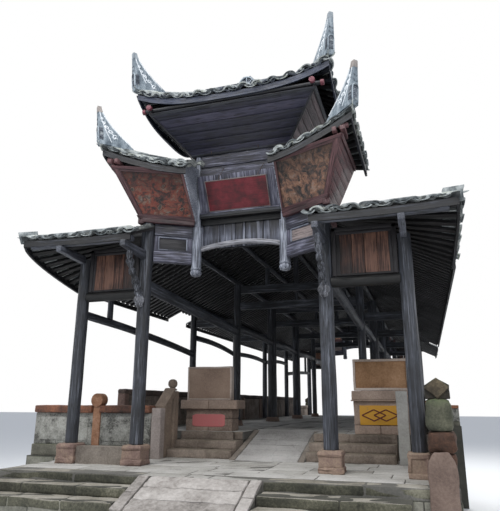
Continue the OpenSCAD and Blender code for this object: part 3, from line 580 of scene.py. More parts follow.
riser = deck_up / 3
add_piece("walkway_treads", at_gates(treads(-2.04, ramp_left - 0.004, (1.65, 2.0, 2.42), 2, riser, 0, 31),
    treads(-2.04, -0.75, (2.4, 2.46), 1, riser, 2 * riser, 37),
    treads(-0.75, ramp_left - 0.004, (2.49, 2.51), 1, riser, 2 * riser, 38),
    treads(ramp_right + 0.004, 2.89, (1.7, 2.05, 2.42), 2, riser, 0, 32),
    treads(1.917, 2.89, (2.36, 2.46), 1, riser, 2 * riser, 39),
    treads(ramp_right + 0.004, 1.917, (2.49, 2.51), 1, riser, 2 * riser, 30)), step_stone)
dress(step_stone, "deck_steps")
add_piece("street_treads", at_gates(treads(-half_width, -1.1, (-2.1, -1.7, -1.34), 3, 0.15, -0.45, 33),
    treads(-half_width, -1.1, (-1.31, -0.97), 2, 0.15, -0.15, 46),
    treads(1.05, 3.25, (-2.1, -1.7, -1.34), 2, 0.15, -0.45, 34),
    treads(1.05, half_width, (-1.31, -0.97), 2, 0.15, -0.15, 47)),
    stone("mossy_street_steps", {0.18: "#5c584f", 0.4: "#857f74", 0.6: "#a19b90", 0.85: "#b8b3aa"}, moss=0.1,
    crack_mm=1100, riser={0.25: "#191a14", 0.45: "#35362b", 0.62: "#565545", 0.8: "#807d6c"}))

# Parapets: red sandstone posts, panels and copings. The copings have gone dark with damp, and
# the panels between are paler and streaked.
red_stops = {0.2: "#5a4640", 0.42: "#7d675e", 0.62: "#95806f", 0.85: "#ab988a"}
red_stone = stone("red_sandstone", red_stops, moss=0.15)
dark_coping = stone("damp_dark_coping", {0.2: "#2c2624", 0.45: "#4b403b", 0.65: "#6c5c53", 0.88: "#94847a"},
    stain_mm=380)
pale_panel = stone("stained_pale_panels", {0.22: "#4d463f", 0.42: "#75695f", 0.6: "#97897d", 0.85: "#b3a698"},
    stain_mm=420)
edge_x, bays, run = half_width - 0.13, 8, 2 * deck_end
posts = [i * (run - 0.22) / bays for i in range(bays + 1)]
low = [(edge_x - 0.105, y - run / 2, 0) for y in posts]
high = [(edge_x + 0.105, y - run / 2 + 0.22, 0.88) for y in posts]
uprights = plain_blocks(low, high, 0.02, 4)
low = [(edge_x - t, y - run / 2 + g, z0) for y in posts[:-1] for t, g, z0 in ((0.07, 0.2, 0), (0.085, 0.34, 0.14))]
high = [(edge_x + t, y - run / 2 + g, z1) for y in posts[1:] for t, g, z1 in ((0.07, 0.02, 0.83), (0.085, -0.12, 0.7))]
infill = plain_blocks(low, high, 0.015, 3)
low = [(edge_x - 0.12, y - run / 2 + 0.11 * (k > 0), 0.83) for k, y in enumerate(posts[:-1])]
high = [(edge_x + 0.12, y - run / 2 + 0.105 + 0.115 * (k == bays - 1), 0.98) for k, y in enumerate(posts[1:])]
rail = worn_blocks(low, high, 0.045, 5, 0.3, 0.004, 6)


def on_deck(part):
    """Lifts a part to the walkway."""
    return moved(part, (0, 0, deck_z))


walls = [add_piece(name, [on_deck(part), on_deck(mirrored(part))], finish) for name, part, finish in (
    ("side_parapet_posts", uprights, red_stone), ("side_parapet_panels", infill, pale_panel),
    ("side_parapet_copings", rail, dark_coping))]
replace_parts(walls[0], "side_parapets")


def ring_faces(steps, around):
    """Quads between rings of points that follow each other, and the two flat ends."""
    i, j = grid(steps - 1, around)
    nxt = (j + 1) % around
    quads = np.stack([i * around + j, i * around + nxt, (i + 1) * around + nxt, (i + 1) * around + j], 1)
    return quads, np.stack([np.arange(around)[::-1], (steps - 1) * around + np.arange(around)])


lean_x, lean_y, lean_z = (1.0, 0.0, 0.0), (0.0, 1.0, 0.0), (0.0, 0.0, 1.0)


def tube(path, radius, sides=16, lean=lean_z):
    """A round form: circles of the given radii carried along a path, closed by flat ends. It
    starts each circle square to its lean, which may not lie along the path."""
    path = np.asarray(path, float)
    radius = np.asarray(radius, float)
    radius = np.broadcast_to(radius[:, None] if radius.ndim == 1 else radius, (len(path), sides))
    forward = unit(np.gradient(path, axis=0))
    first = unit(np.cross(np.broadcast_to(lean, forward.shape), forward))
    second = np.cross(forward, first)
    turn = np.arange(sides) * 2 * math.pi / sides
    points = path[:, None] + radius[..., None] * (
        first[:, None] * np.cos(turn)[:, None] + second[:, None] * np.sin(turn)[:, None])
    run = np.append(0, np.cumsum(np.linalg.norm(np.diff(path, axis=0), axis=1))) + rng.uniform(0, 40)
    laid = xyz(radius * np.cos(turn), radius * np.sin(turn), run[:, None])
    return Part(points.reshape(-1, 3), list(ring_faces(len(path), sides)), np.zeros(len(path) * sides),
        laid.reshape(-1, 3))


def turned(profile, place, sides=24, lobes=0, depth=0.0):
    """A turned form about an upright axis: (radius, height) pairs, with lobes cut round it."""
    profile = np.asarray(profile, float)
    turn = np.arange(sides) * 2 * math.pi / sides
    radius = profile[:, :1] * (1 - depth * (1 - np.abs(np.cos(lobes * turn / 2))))
    path = xyz(0, 0, profile[:, 1]) + np.asarray(place)
    return tube(path, radius, sides, lean_x)


low = [(-5.2, 1.1, 0), (-3.47, 1.1, 0)]
high = [(-3.66, 1.38, 0.25), (-2.22, 1.38, 0.25)]
plinth_course = plain_blocks(low, high, 0.02, 5)
low = [(-5.2, 1.16, 0.25), (-3.47, 1.16, 0.25), (-5.05, 1.145, 0.34), (-3.38, 1.145, 0.34)]
high = [(-3.66, 1.32, 0.94), (-2.22, 1.32, 0.94), (-3.78, 1.3, 0.85), (-2.34, 1.3, 0.85)]
bank_panels = plain_blocks(low, high, 0.016, 5)
low = [(-5.2, 1.08, 0.94), (-3.46, 1.08, 0.94)]
high = [(-3.67, 1.4, 1.1), (-2.22, 1.4, 1.1)]
bank_coping = worn_blocks(low, high, 0.022, 9, 0.3, 0.005, 7)
drum_post = worn_blocks([(-3.66, 1.13, 0)], [(-3.465, 1.31, 1.1)], 0.02, 7, 0.4, 0.003, 8)
bank_posts = worn_blocks([(-2.22, 1.18, 0)], [(-1.99, 1.405, 1.05)], 0.02, 7, 0.4, 0.003, 8)
drum_x, drum_z = -3.565, 1.215
drum_path = [(drum_x, y, drum_z) for y in (1.112, 1.1115, 1.1, 1.101, 1.108, 1.22, 1.332, 1.338, 1.34)]
drum = tube(np.array(drum_path), [0.108, 0.116, 0.124, 0.14, 0.148, 0.15, 0.148, 0.14, 0.1], 40)
rays = []
for angle in np.arange(8) * math.pi / 4:
    ends = [(drum_x + r * math.cos(angle), 1.113, drum_z + r * math.sin(angle)) for r in (0.03, 0.11)]
    rays.append(tube(np.linspace(*ends, 4), 0.005, 6, lean_y))
grey_newel = stone("grey_brown_newel", {0.2: "#6b625c", 0.45: "#918680", 0.7: "#aa9f98", 0.9: "#bfb5ae"})
rusty_coping = stone("orange_brown_coping", {0.2: "#2d2521", 0.42: "#5b3f33", 0.62: "#8a5a41", 0.88: "#a88168"},
    stain_mm=520)
course_green = stone("grey_green_course", {0.2: "#3c3b33", 0.42: "#5f5d52", 0.62: "#7b786b", 0.88: "#959183"},
    stain_mm=420, moss=0.4)
rusty_stone = stone("orange_brown_drum", {0.25: "#684833", 0.5: "#92694e", 0.75: "#ad876e"}, stain_mm=250)
flaking_panel = stone("flaking_grey_panels", {0.3: "#4d4c47", 0.42: "#83827b", 0.6: "#a3a29a", 0.85: "#babab4"},
    stain_mm=260)
kerbs = [add_piece(name, at_gates(*parts), finish) for name, parts, finish in (
    ("bank_parapet_courses", [plinth_course], course_green), ("bank_parapet_panels", [bank_panels], flaking_panel),
    ("bank_parapet_copings", [bank_coping], rusty_coping), ("bank_parapet_posts", [bank_posts], grey_newel),
    ("bank_parapet_drums", [drum, drum_post, *rays], rusty_stone))]
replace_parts(kerbs[0], "bank_parapets")

# Climbing parapet: a short raking wall beside the steps, ending in a post with a ball.
points, quads = blocks([(-2.21, 1.41, 0), (-2.26, 1.41, 0)], [(-2.05, 1.9, 1), (-2.0, 1.9, 1)], 0.02, 6)
along = (points[..., 1] - 1.41) / 0.49
foot_z, head_z = np.array([[0.0], [0.93]]), np.array([[0.93], [1.1]])
points[..., 2] = foot_z + (head_z - foot_z) * points[..., 2] + 0.4 * along * np.where(
    foot_z > 0, 1, points[..., 2])
raking_wall = joined(points, quads)
points, quads = blocks((-2.25, 1.9, 0), (-2.01, 2.14, 1.43), 0.022, 6)
ball = turned([(0.02, 1.43), (0.1, 1.44), (0.105, 1.47), (0.07, 1.49), (0.06, 1.505), (0.09, 1.53), (0.108, 1.57),
    (0.108, 1.62), (0.085, 1.67), (0.045, 1.695), (0.008, 1.7)], (-2.13, 2.02, 0))
tan_stone = stone("tan_climbing_stone", {0.2: "#5b5048", 0.42: "#7b6c5f", 0.65: "#948474", 0.9: "#ab9b89"})
raking = add_piece("climbing_parapet", at_gates(raking_wall, joined(points, quads), ball), tan_stone)
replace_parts(raking, "climbing_parapets")

# End stack: old carved stones set on each other at the street end of the terrace edge, from a
# slab with a rounded head up to a gabled stone with a sunk lozenge.
stack_x, stack_y = half_width - 0.38, front_y
points, quads = blocks((stack_x - 0.04, stack_y - 0.11, -0.45), (stack_x + 0.36, stack_y, 0.49), 0.02, 12)
middle_x = stack_x + 0.16
head = np.clip((points[..., 2] - 0.2) / 0.28, 0, 1)
points[..., 0] = middle_x + (points[..., 0] - middle_x) * np.sqrt(1 - 0.75 * head ** 2.4)
brown_slab = stone("pinkish_brown_slab", {0.2: "#4c3f39", 0.45: "#69584f", 0.7: "#7f6d62", 0.9: "#928177"},
    stain_mm=500)
mossy_stone = stone("mossy_green_stone", {0.2: "#2b2c23", 0.42: "#454638", 0.62: "#5d5c4c", 0.85: "#7d7864"},
    stain_mm=300, moss=0.6, moss_code="#4a5735")
dark_gable = stone("blackened_gable_stone", {0.2: "#17140f", 0.42: "#2c261c", 0.62: "#443b2d", 0.85: "#665b47"},
    stain_mm=260, moss=0.35, moss_code="#3a4227")
low_red = stone("weathered_red_block", {0.22: "#281b13", 0.45: "#422c20", 0.65: "#5b3f2f", 0.9: "#7b5b45"},
    stain_mm=250)
head_slab = joined(worn(points, 0.3, 0.006, 9), quads)
points, quads = blocks([(stack_x + 0.005, stack_y, 0), (stack_x + 0.01, stack_y, 0.472)],
    [(stack_x + 0.365, stack_y + 0.42, 0.47), (stack_x + 0.37, stack_y + 0.4, 0.768)], 0.05, 7)
bulge = 1 + 0.05 * np.cos((points[..., 2] - 0.62) * 8) * (points[..., 2] > 0.48)
points[..., 0] = middle_x + (points[..., 0] - middle_x) * bulge
red_blocks = joined(worn(points, 0.16, 0.011, 10), quads)
mossy_block = worn_blocks((stack_x, stack_y + 0.01, 0.77), (stack_x + 0.355, stack_y + 0.39, 1.225), 0.07, 10, 0.25,
    0.007, 11)
points, quads = blocks((-0.175, stack_y + 0.035, 1.225), (0.175, stack_y + 0.35, 1.535), 0.012, 22)
gable_x = points[..., 0]
points[..., 2] = np.where(points[..., 2] > 1.38, np.minimum(points[..., 2], 1.53 - 0.62 * np.abs(gable_x)),
    points[..., 2])
off_lozenge = (np.abs(gable_x) / 0.178 + np.abs(points[..., 2] - 1.382) / 0.155) > 1
points[..., 1] += 0.03 * (off_lozenge & (points[..., 1] < stack_y + 0.1))
points[..., 0] += stack_x + 0.177
gable_stone = joined(worn(points, 0.2, 0.003, 15), quads)
gable_stone.tone[:] += np.where(off_lozenge, -0.22, 0.1).ravel()
low = [(edge_x - 0.08, stack_y + 0.42, 0), (edge_x - 0.12, stack_y + 0.42, 0.9)]
high = [(edge_x + 0.08, deck_from, 0.9), (edge_x + 0.12, deck_from, 1.05)]
low_wall = plain_blocks(low, high, 0.03, 8)
stack = [add_piece(name, at_gates(*parts), finish) for name, parts, finish in (
    ("end_stack_slab", [head_slab], brown_slab), ("end_stack_red_blocks", [red_blocks], low_red),
    ("end_stack_mossy_stones", [mossy_block], mossy_stone), ("end_stack_gable_stones", [gable_stone], dark_gable),
    ("terrace_edge_wall", [low_wall], pale_panel))]
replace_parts(stack[0], "end_posts")

# Steles: two donors' slabs on panelled stone bases stand inside the front gateway. The left one
# is a bare framed slab over a red-painted panel, the right one a framed board over a yellow one.
stele_stone = stone("smooth_brown_sandstone", {0.2: "#7a675a", 0.45: "#988170", 0.7: "#ac9582", 0.9: "#c0ab98"},
    stain_mm=900, bump=0.25)
course_stone = stone("rough_brown_courses", {0.2: "#5f5248", 0.45: "#938072", 0.7: "#b09b8b", 0.9: "#c9b6a5"})


def painted_stone(name, code, worn_code):
    """Oil paint brushed on stone: even, slightly glossy, chipped to the stone in places."""
    finish, node, place = new_finish(name)
    chips = node("TexNoise", {"Vector": place, "Scale": 9.0, "Detail": 8.0, "Roughness": 0.7})
    paint = node("ValToRGB", {"Fac": chips}, stops={0.3: worn_code, 0.42: code, 0.8: code})
    return closed(finish, node, paint, 0.6, chips, 0.2, 0.01)


red_paint = painted_stone("dull_red_paint", "#c4716f", "#a58475")
yellow_paint = painted_stone("yellow_ochre_paint", "#c8932c", "#997b4a")
lozenge_paint = painted_stone("dark_red_line_paint", "#5d2016", "#6b3a24")


def stele_blocks(corners, at, edge=0.012, cuts=5, wear_depth=0.003):
    """Blocks given by pairs of corners from a stele's own corner on the walkway."""
    low = np.array([c[0] for c in corners]) + (at[0], at[1], deck_up)
    high = np.array([c[1] for c in corners]) + (at[0], at[1], deck_up)
    return moved(worn_blocks(low, high, edge, cuts, 0.3, wear_depth, 12, 0.08), (0, gate_y, terrace_z))


at = (-2.12, 2.62)
left_courses = stele_blocks([((0.086, 0, 0), (0.66, 0.5, 0.28)), ((0.665, 0, 0), (1.269, 0.5, 0.28)),
    ((0.086, 0.004, 0.285), (1.269, 0.5, 0.503)), ((-0.025, -0.1, 0.503), (0.7, 0.56, 0.71)),
    ((0.704, -0.1, 0.503), (1.408, 0.56, 0.71))], at, 0.022, 7)
left_body = stele_blocks([((0.04, 0.175, 0.71), (1.18, 0.33, 1.5))], at, 0.01)
slab_rim = stele_blocks([((0.032, 0.16, 0.71), (0.075, 0.34, 1.508)), ((1.145, 0.16, 0.71), (1.188, 0.34, 1.508)),
    ((0.032, 0.16, 1.465), (1.188, 0.34, 1.508)), ((0.032, 0.16, 0.71), (1.188, 0.34, 0.75))], at, 0.01)
panel = stele_blocks([((0.26, -0.012, 0.1), (1.09, 0.01, 0.385))], at, 0.008, 14, 0)
across = panel.points[:, 0] - at[0] - 0.675
mid_z = deck_z + 0.2425
narrow = np.interp(np.abs(across), [0.372, 0.385, 0.4, 0.415], [1, 0.9, 0.86, 0.72])
panel.points[:, 2] = (panel.points[:, 2] - mid_z) * narrow + mid_z
pale_edge = stone("pale_worn_stone_edge", {0.2: "#8f8074", 0.45: "#b3a396", 0.7: "#cbbdb1", 0.9: "#ddd1c7"}, bump=0.3)
left_pieces = [add_piece("left_stele_courses", [left_courses], course_stone),
    add_piece("left_stele_slab", [left_body], stele_stone),
    add_piece("left_stele_edges", [slab_rim], pale_edge),
    add_piece("left_stele_red_panel", [panel], red_paint)]
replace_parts(left_pieces[0], "left_stele")

at = (2.014, 2.45)
right_courses = stele_blocks([((0, 0, 0), (0.55, 0.52, 0.19)), ((0.555, 0, 0), (1.186, 0.52, 0.19)),
    ((0, 0.003, 0.195), (1.186, 0.52, 0.69))], at, 0.018, 7)
right_band = stele_blocks([((-0.03, -0.05, 0.72), (1.2, 0.56, 0.908)), ((-0.05, -0.075, 0.688), (1.2, 0.56, 0.718))],
    at, 0.014, 10)
right_post = stele_blocks([((0.945, -0.86, -deck_up), (1.162, -0.69, 0.88))], at, 0.012, 8)
yellow_panel = stele_blocks([((0.129, -0.012, 0.197), (1.12, 0.004, 0.599))], at, 0.004)
board_frame = stele_blocks([((0.018, 0, 0.912), (1.2, 0.15, 0.968)), ((0.018, 0, 1.536), (1.2, 0.15, 1.59)),
    ((0.018, 0, 0.912), (0.066, 0.15, 1.59)), ((1.152, 0, 0.912), (1.2, 0.15, 1.59))], at, 0.01)
board_face = stele_blocks([((0.05, 0.03, 0.93), (1.17, 0.14, 1.57))], at, 0.005)
lines = []
for left, middle, right in ((0.173, 0.425, 0.678), (0.427, 0.68, 0.934)):
    corners = [(left, 0.396), (middle, 0.512), (right, 0.396), (middle, 0.28), (left, 0.396)]
    for (ax, az), (bx, bz) in zip(corners, corners[1:]):
        path = np.linspace((at[0] + ax, at[1] - 0.012, deck_up + az), (at[0] + bx, at[1] - 0.012, deck_up + bz), 4)
        lines.append(tube(path + (0, gate_y, terrace_z), 0.013, 8))
board_wood = stone("bare_brown_board", {0.2: "#6b4d37", 0.45: "#94704f", 0.7: "#ae8866", 0.9: "#c9a583"},
    stain_mm=500, bump=0.25)
grey_post = stone("grey_flat_post", {0.2: "#7b7973", 0.5: "#9b9993", 0.85: "#b3b1aa"}, bump=0.25)
right_pieces = [add_piece("right_stele_courses", [right_courses], course_stone),
    add_piece("right_stele_band", [right_band], course_stone),
    add_piece("right_stele_post", [right_post], grey_post),
    add_piece("right_stele_board", [board_face], board_wood),
    add_piece("right_stele_board_frame", [board_frame], pale_edge),
    add_piece("right_stele_yellow_panel", [yellow_panel], yellow_paint),
    add_piece("right_stele_lozenges", lines, lozenge_paint)]
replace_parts(right_pieces[0], "right_stele")
dress(kerb_slab, "gate_sills")


# Timber frame: peeled fir logs and sawn beams, oiled and painted dark long ago. Weather has
# opened fine checks along the grain. Pale grey-blue strips are partly paint worn to bare wood
# and partly painted sheen.
def timber(name, stops, along=None, streak_mm=26, bump=0.45, bare="#8d919c", share=0.55):
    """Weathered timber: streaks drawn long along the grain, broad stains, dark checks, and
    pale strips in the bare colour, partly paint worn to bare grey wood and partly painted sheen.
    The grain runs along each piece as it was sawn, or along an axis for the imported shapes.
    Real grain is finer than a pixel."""
    finish, node, place = new_finish(name)
    laid = place if along else node("Attribute", {}, attribute_name="laid").outputs["Vector"]
    across = 1000 / streak_mm
    scale = [across] * 3
    scale["xyz".index(along or "z")] = across / 22
    grain_place = node("Mapping", {"Vector": laid, "Scale": scale})
    grain = node("TexNoise", {"Vector": grain_place, "Scale": 1.0, "Detail": 6.0, "Roughness": 0.65})
    stain = node("TexNoise", {"Vector": place, "Scale": 1.7, "Detail": 6.0, "Roughness": 0.6})
    board = node("Attribute", {}, attribute_name="tone")
    level = node("Math", {0: grain, 1: 0.62, 2: board.outputs["Fac"]}, operation="MULTIPLY_ADD")
    level = node("Math", {0: stain, 1: 0.42, 2: level}, operation="MULTIPLY_ADD")
    base = node("ValToRGB", {"Fac": level}, stops=stops)
    # The pale strips in the bare colour are partly paint worn to bare grey wood and partly painted sheen, a highlight
    # of sky light put into the colour.
    strip_place = node("Mapping", {"Vector": laid, "Scale": [v * 0.55 for v in scale]})
    strip = node("TexNoise", {"Vector": strip_place, "Scale": 1.0, "Detail": 5.0, "Roughness": 0.7})
    worn_and_sheen_mask = node("MapRange", {"Value": strip, "From Min": 0.54, "From Max": 0.68, "To Max": share})
    bared_and_sheen = node("Mix", {0: worn_and_sheen_mask, 6: base, 7: colour(bare)}, data_type="RGBA")
    check_place = node("Mapping", {"Vector": laid, "Scale": [v * 1.7 for v in scale]})
    check = node("TexNoise", {"Vector": check_place, "Scale": 1.0, "Detail": 3.0})
    gap = node("MapRange", {"Value": check, "From Min": 0.36, "From Max": 0.43, "To Min": 0.2})
    dark = node("Mix", {0: 1.0, 6: bared_and_sheen.outputs[2], 7: gap}, data_type="RGBA", blend_type="MULTIPLY")
    sheen = node("MapRange", {"Value": stain, "From Min": 0.3, "From Max": 0.7, "To Min": 0.42, "To Max": 0.7})
    height = node("Math", {0: level, 1: gap}, operation="ADD")
    return closed(finish, node, dark.outputs[2], sheen, height, bump, 0.012)


dark_stops = {0.3: "#0f1013", 0.46: "#202227", 0.58: "#34373e", 0.72: "#5a5e68", 0.85: "#868a95"}
dark_post = timber("dark_weathered_timber", dark_stops)
packed_post, packed_purlin, packed_beam = (timber("dark_timber_along_" + a, dark_stops, a) for a in "zyx")
grey_wood = timber("grey_worn_timber", {0.34: "#1e2026", 0.46: "#575b66", 0.56: "#8f94a0", 0.7: "#c0c5cf"},
    bare="#d0d5df")
beam_wood = timber("purple_beam_wood_timber", {0.34: "#121218", 0.46: "#2f2f3b", 0.56: "#545464", 0.7: "#898a98"},
    bare="#a5a7b8", share=0.6)


def log(start, end, radius, seed, sides=20, steps=26, bow=0.0):
    """A peeled log: circles along a line that bows up or down, with slow swellings, a slight
    taper and eased ends."""
    field = np.random.default_rng(seed)
    share = np.concatenate([[0, 0.002], np.linspace(0.006, 0.994, steps), [0.998, 1]])
    path = np.asarray(start) + np.outer(share, np.asarray(end, float) - np.asarray(start))
    path[:, 2] += bow * 4 * share * (1 - share)
    turn = np.arange(sides) * 2 * math.pi / sides
    swells = [(n, field.normal(), field.uniform(3, 22), field.uniform(0, 6)) for n in range(5) for _ in (0, 1)]
    swell = sum(size * 0.008 * np.sin(share[:, None] * rate + turn * n + phase) for n, size, rate, phase in swells)
    taper = 0.03
    radii = radius * (1 - taper * share[:, None]) * (1 + swell)
    radii[0] *= 0.93
    radii[-1] *= 0.93
    level = abs(path[-1, 2] - path[0, 2]) < 0.5
    part = tube(path, radii, sides, lean_z if level else lean_x)
    return part._replace(tone=part.tone + field.uniform(-0.05, 0.05))


main_x, outer_x, plinth_h = 1.9, 3.37, 0.38
rows = [-6.15, -2.05, 2.05, 6.15]
gate_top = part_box("gate_main_columns")[1].z - terrace_z
outer_gate_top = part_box("gate_outer_columns")[1].z - terrace_z

# Column plinths: one stone each, with a rolled upper edge and a broken foot. The outer right one
# is a reused block with a sunk square on its face.
plinth_rolls = ((0.222, 0.262, plinth_h, 0.056, 0.004), (0.2, 0.1, 0.29, 0.02, 0.004), (0.214, 0, 0.125, 0.03, 0.012))
parts = []
for x in (-outer_x, -main_x, main_x):
    for half, z0, z1, ease, depth in plinth_rolls:
        parts.append(worn_blocks((x - half, -half, z0), (x + half, half, z1), ease, 9, 0.14, depth, int(90 + 10 * x),
            0.05))
x0, x1 = outer_x - 0.19, outer_x + 0.15
low = [(x0 + 0.012, -0.37, 0), (x0, -0.39, 0), (x0, -0.388, 0.3), (x0, -0.386, 0.08), (x1 - 0.06, -0.386, 0.08)]
high = [(x1 - 0.012, 0.13, plinth_h), (x1, 0.13, 0.085), (x1, 0.13, plinth_h), (x0 + 0.06, -0.3, 0.31),
    (x1, -0.3, 0.31)]
parts.append(worn_blocks(low, high, 0.014, 8, 0.15, 0.006, 91, 0.05))
row_feet = [tube([(s * main_x, y, deck_z + z) for z in (0, 0.02, 0.14, 0.16)],
    np.array([0.08, 0.085, 0.055, 0.045]) + r, 20, lean_x) for y, r in zip(rows, (0.114, 0.168, 0.168, 0.114))
    for s in (-1, 1)]
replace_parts(add_piece("column_plinth_stones", at_gates(*parts) + row_feet, red_stone), "column_plinths")

gate_posts = [log((s * main_x, 0, plinth_h), (s * main_x, 0, gate_top), 0.136, 40 + s) for s in (-1, 1)]
edge_posts = [log((s * outer_x, 0, plinth_h), (s * outer_x, 0, outer_gate_top), 0.126, 44 + s) for s in (-1, 1)]
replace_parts(add_piece("gate_posts", at_gates(*gate_posts), dark_post), "gate_main_columns")
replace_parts(add_piece("gate_edge_posts", at_gates(*edge_posts), dark_post), "gate_outer_columns")
for node_name, x, radii, foot in (("inner_columns", main_x, (0.114, 0.168), 0.16),
        ("aisle_columns", outer_x, (0.104, 0.104), 0)):
    head_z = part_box(node_name)[1].z
    parts = [log((s * x, y, deck_z + foot), (s * x, y, head_z), radii[int(abs(y) < 4)], int(200 + 10 * y + s), 18,
        14) for y in rows for s in (-1, 1)]
    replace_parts(add_piece(node_name.replace("columns", "posts"), parts, dark_post), node_name)

# Logs along the bridge: between the columns of each row, bowed as the trees grew.
stations = [gate_y] + rows + [-gate_y]
inner_bays = [(3.39, 3.17, 0.29, 0.0), (3.28, 3.24, 0.23, 0.05), (3.24, 3.24, 0.23, 0.08)]
outer_bays = [(2.895, 2.555, 0.19, 0.05), (3.08, 2.87, 0.18, 0.08), (2.9, 2.9, 0.18, 0.07)]
for node_name, x, shapes in (("inner_logs", main_x, inner_bays), ("outer_logs", outer_x, outer_bays)):
    shapes = shapes + [(b, a, deep, bow) for a, b, deep, bow in shapes[1::-1]]
    parts = []
    for k, (y0, y1, (z0, z1, deep, bow)) in enumerate(zip(stations, stations[1:], shapes)):
        for s in (-1, 1):
            line = log((s * x, y0 + 0.1, terrace_z + z0 + deep / 2), (s * x, y1 - 0.1, terrace_z + z1 + deep / 2),
                deep / 2 - 0.003, 80 + 4 * k + s, 20, 18, bow)
            narrow = (0.19 if x == main_x else 0.15) / deep
            line.points[:, 0] = s * x + (line.points[:, 0] - s * x) * min(narrow, 1.0)
            parts.append(line)
    if x == outer_x:
        stubs = log((outer_x, 1.09, 3.0), (outer_x, 1.09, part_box("outer_logs")[1].z - terrace_z - 0.004), 0.069, 97,
            16, 8)
        parts += paired(stubs)
    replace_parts(add_piece(node_name.replace("logs", "running_logs"), parts, dark_post), node_name)
dress(packed_purlin, "purlins")
dress(packed_beam, "tie_beams", "aisle_beams")
dress(packed_post, "short_posts")


# Gallery roof: small curved grey clay tiles laid dry on flat rafters, a hollow row and a round
# row in turn, each course lapping the one below. Lichen has turned the eaves pale.
def tiled(surface, length, depth, pitch=0.24, course=0.15, swell=0.036, thick=0.03, seed=2):
    """Tiles on a roof surface given as a function of shares along the eaves and up the slope.
    The height off it is a half-round for each round row, a shallow hollow between, and a
    small rise at the lower end of each course."""
    count, step = max(2, round(length / pitch)), 6
    courses = max(3, round(depth / course))
    along = np.linspace(0, 1, count * step + 1)
    first = np.arange(courses)
    up = np.append(np.stack([first / courses, (first + 0.92) / courses], 1).ravel(), 1.0)
    lift = np.append(np.tile([0.016, 0.003], courses), 0.003)
    phase = (along * count) % 1 - 0.5
    round_half, hollow_half, hollow_deep, sink = 0.29, 0.21, 0.013, 0.035
    wave = np.where(np.abs(phase) < round_half, swell * np.sqrt(np.maximum(1 - (phase / round_half) ** 2, 0)),
        -hollow_deep * np.cos((0.5 - np.abs(phase)) / hollow_half * 1.57))

    def sheet(up_shares, lifts, off):
        points = surface(along[:, None], up_shares[None, :])
        ahead = surface(np.minimum(along + 1e-3, 1)[:, None], up_shares[None, :]) - surface(
            np.maximum(along - 1e-3, 0)[:, None], up_shares[None, :])
        above = surface(along[:, None], np.minimum(up_shares + 1e-3, 1)[None, :]) - surface(
            along[:, None], np.maximum(up_shares - 1e-3, 0)[None, :])
        normal = unit(np.cross(ahead, above))
        return points + normal * (wave[:, None] + lifts[None, :] - sink - off)[..., None]

    lower_up = np.linspace(0, 1, 7)
    top, under = sheet(up, lift, 0), sheet(lower_up, np.full(7, 0.016), thick)
    n, m, k = len(along), len(up), 7
    i, j = grid(n - 1, m - 1)
    quads = [np.stack([i * m + j, (i + 1) * m + j, (i + 1) * m + j + 1, i * m + j + 1], 1)]
    i, j = grid(n - 1, k - 1)
    base = n * m
    quads.append(base + np.stack([i * k + j, i * k + j + 1, (i + 1) * k + j + 1, (i + 1) * k + j], 1))
    i = np.arange(n - 1)
    quads.append(np.stack([base + i * k, base + (i + 1) * k, (i + 1) * m, i * m], 1))
    quads.append(np.stack([base + i * k + k - 1, i * m + m - 1, (i + 1) * m + m - 1, base + (i + 1) * k + k - 1], 1))
    left = np.concatenate([np.arange(m), base + np.arange(k)[::-1]])[None]
    right = np.concatenate([base + (n - 1) * k + np.arange(k), (n - 1) * m + np.arange(m)[::-1]])[None]
    field = np.random.default_rng(seed)
    tile_tone = field.uniform(-0.12, 0.12, (count * 2 + 1, courses + 1))
    tone = tile_tone[(along * count * 2 + 0.5).astype(int)][:, (up * courses * 0.999).astype(int)]
    low_tone = np.full((n, k), -0.1)
    points = np.concatenate([top.reshape(-1, 3), under.reshape(-1, 3)])
    return Part(points, quads + [left, right], np.concatenate([tone.ravel(), low_tone.ravel()]), points)


def carried(path, across, up, outline, spread=0.09):
    """An outline carried along paths: each point of a path plus the outline's two
    coordinates times the directions across and up, closed by flat ends."""
    path = np.asarray(path, float)
    path = path[None] if path.ndim == 2 else path
    across, up = (np.broadcast_to(np.asarray(v, float), path.shape) for v in (across, up))
    outline = np.asarray(outline, float)
    points = path[:, :, None] + across[:, :, None] * outline[:, :1] + up[:, :, None] * outline[:, 1:]
    many, steps, around = points.shape[:3]
    quads, ends = ring_faces(steps, around)
    if (np.cross(across[0, 0], up[0, 0]) * (path[0, -1] - path[0, 0])).sum() < 0:
        quads, ends = quads[:, ::-1], ends[:, ::-1]
    points = points.reshape(many, -1, 3)
    body = joined(points, quads, spread)
    end_faces = (ends[None] + (np.arange(many) * steps * around)[:, None, None]).reshape(-1, around)
    run = np.cumsum(np.linalg.norm(np.diff(path, axis=1, prepend=path[:, :1]), axis=2), axis=1)
    run += rng.uniform(0, 40, (many, 1))
    lie = np.broadcast_to(outline, (many, steps, around, 2))
    laid = np.concatenate([lie, np.broadcast_to(run[:, :, None, None], (many, steps, around, 1))], -1)
    return body._replace(faces=body.faces + [end_faces], laid=laid.reshape(-1, 3))


def rafters(surface, length, spacing, cuts=6):
    """Flat rafters under a roof surface, one beneath each round row."""
    count = max(2, round(length / spacing))
    along = (np.arange(count) + 0.5) / count
    first_up, half, top, foot = 0.012, 0.045, -0.068, -0.128
    up = np.linspace(first_up, 1, cuts)
    points = surface(along[:, None], up[None, :])
    ahead = surface(np.minimum(along + 1e-3, 1)[:, None], up[None, :]) - points
    above = np.gradient(points, axis=1)
    ahead = unit(ahead)
    normal = unit(np.cross(ahead, above))
    return carried(points, ahead, normal, [(-half, foot), (half, foot), (half, top), (-half, top)])


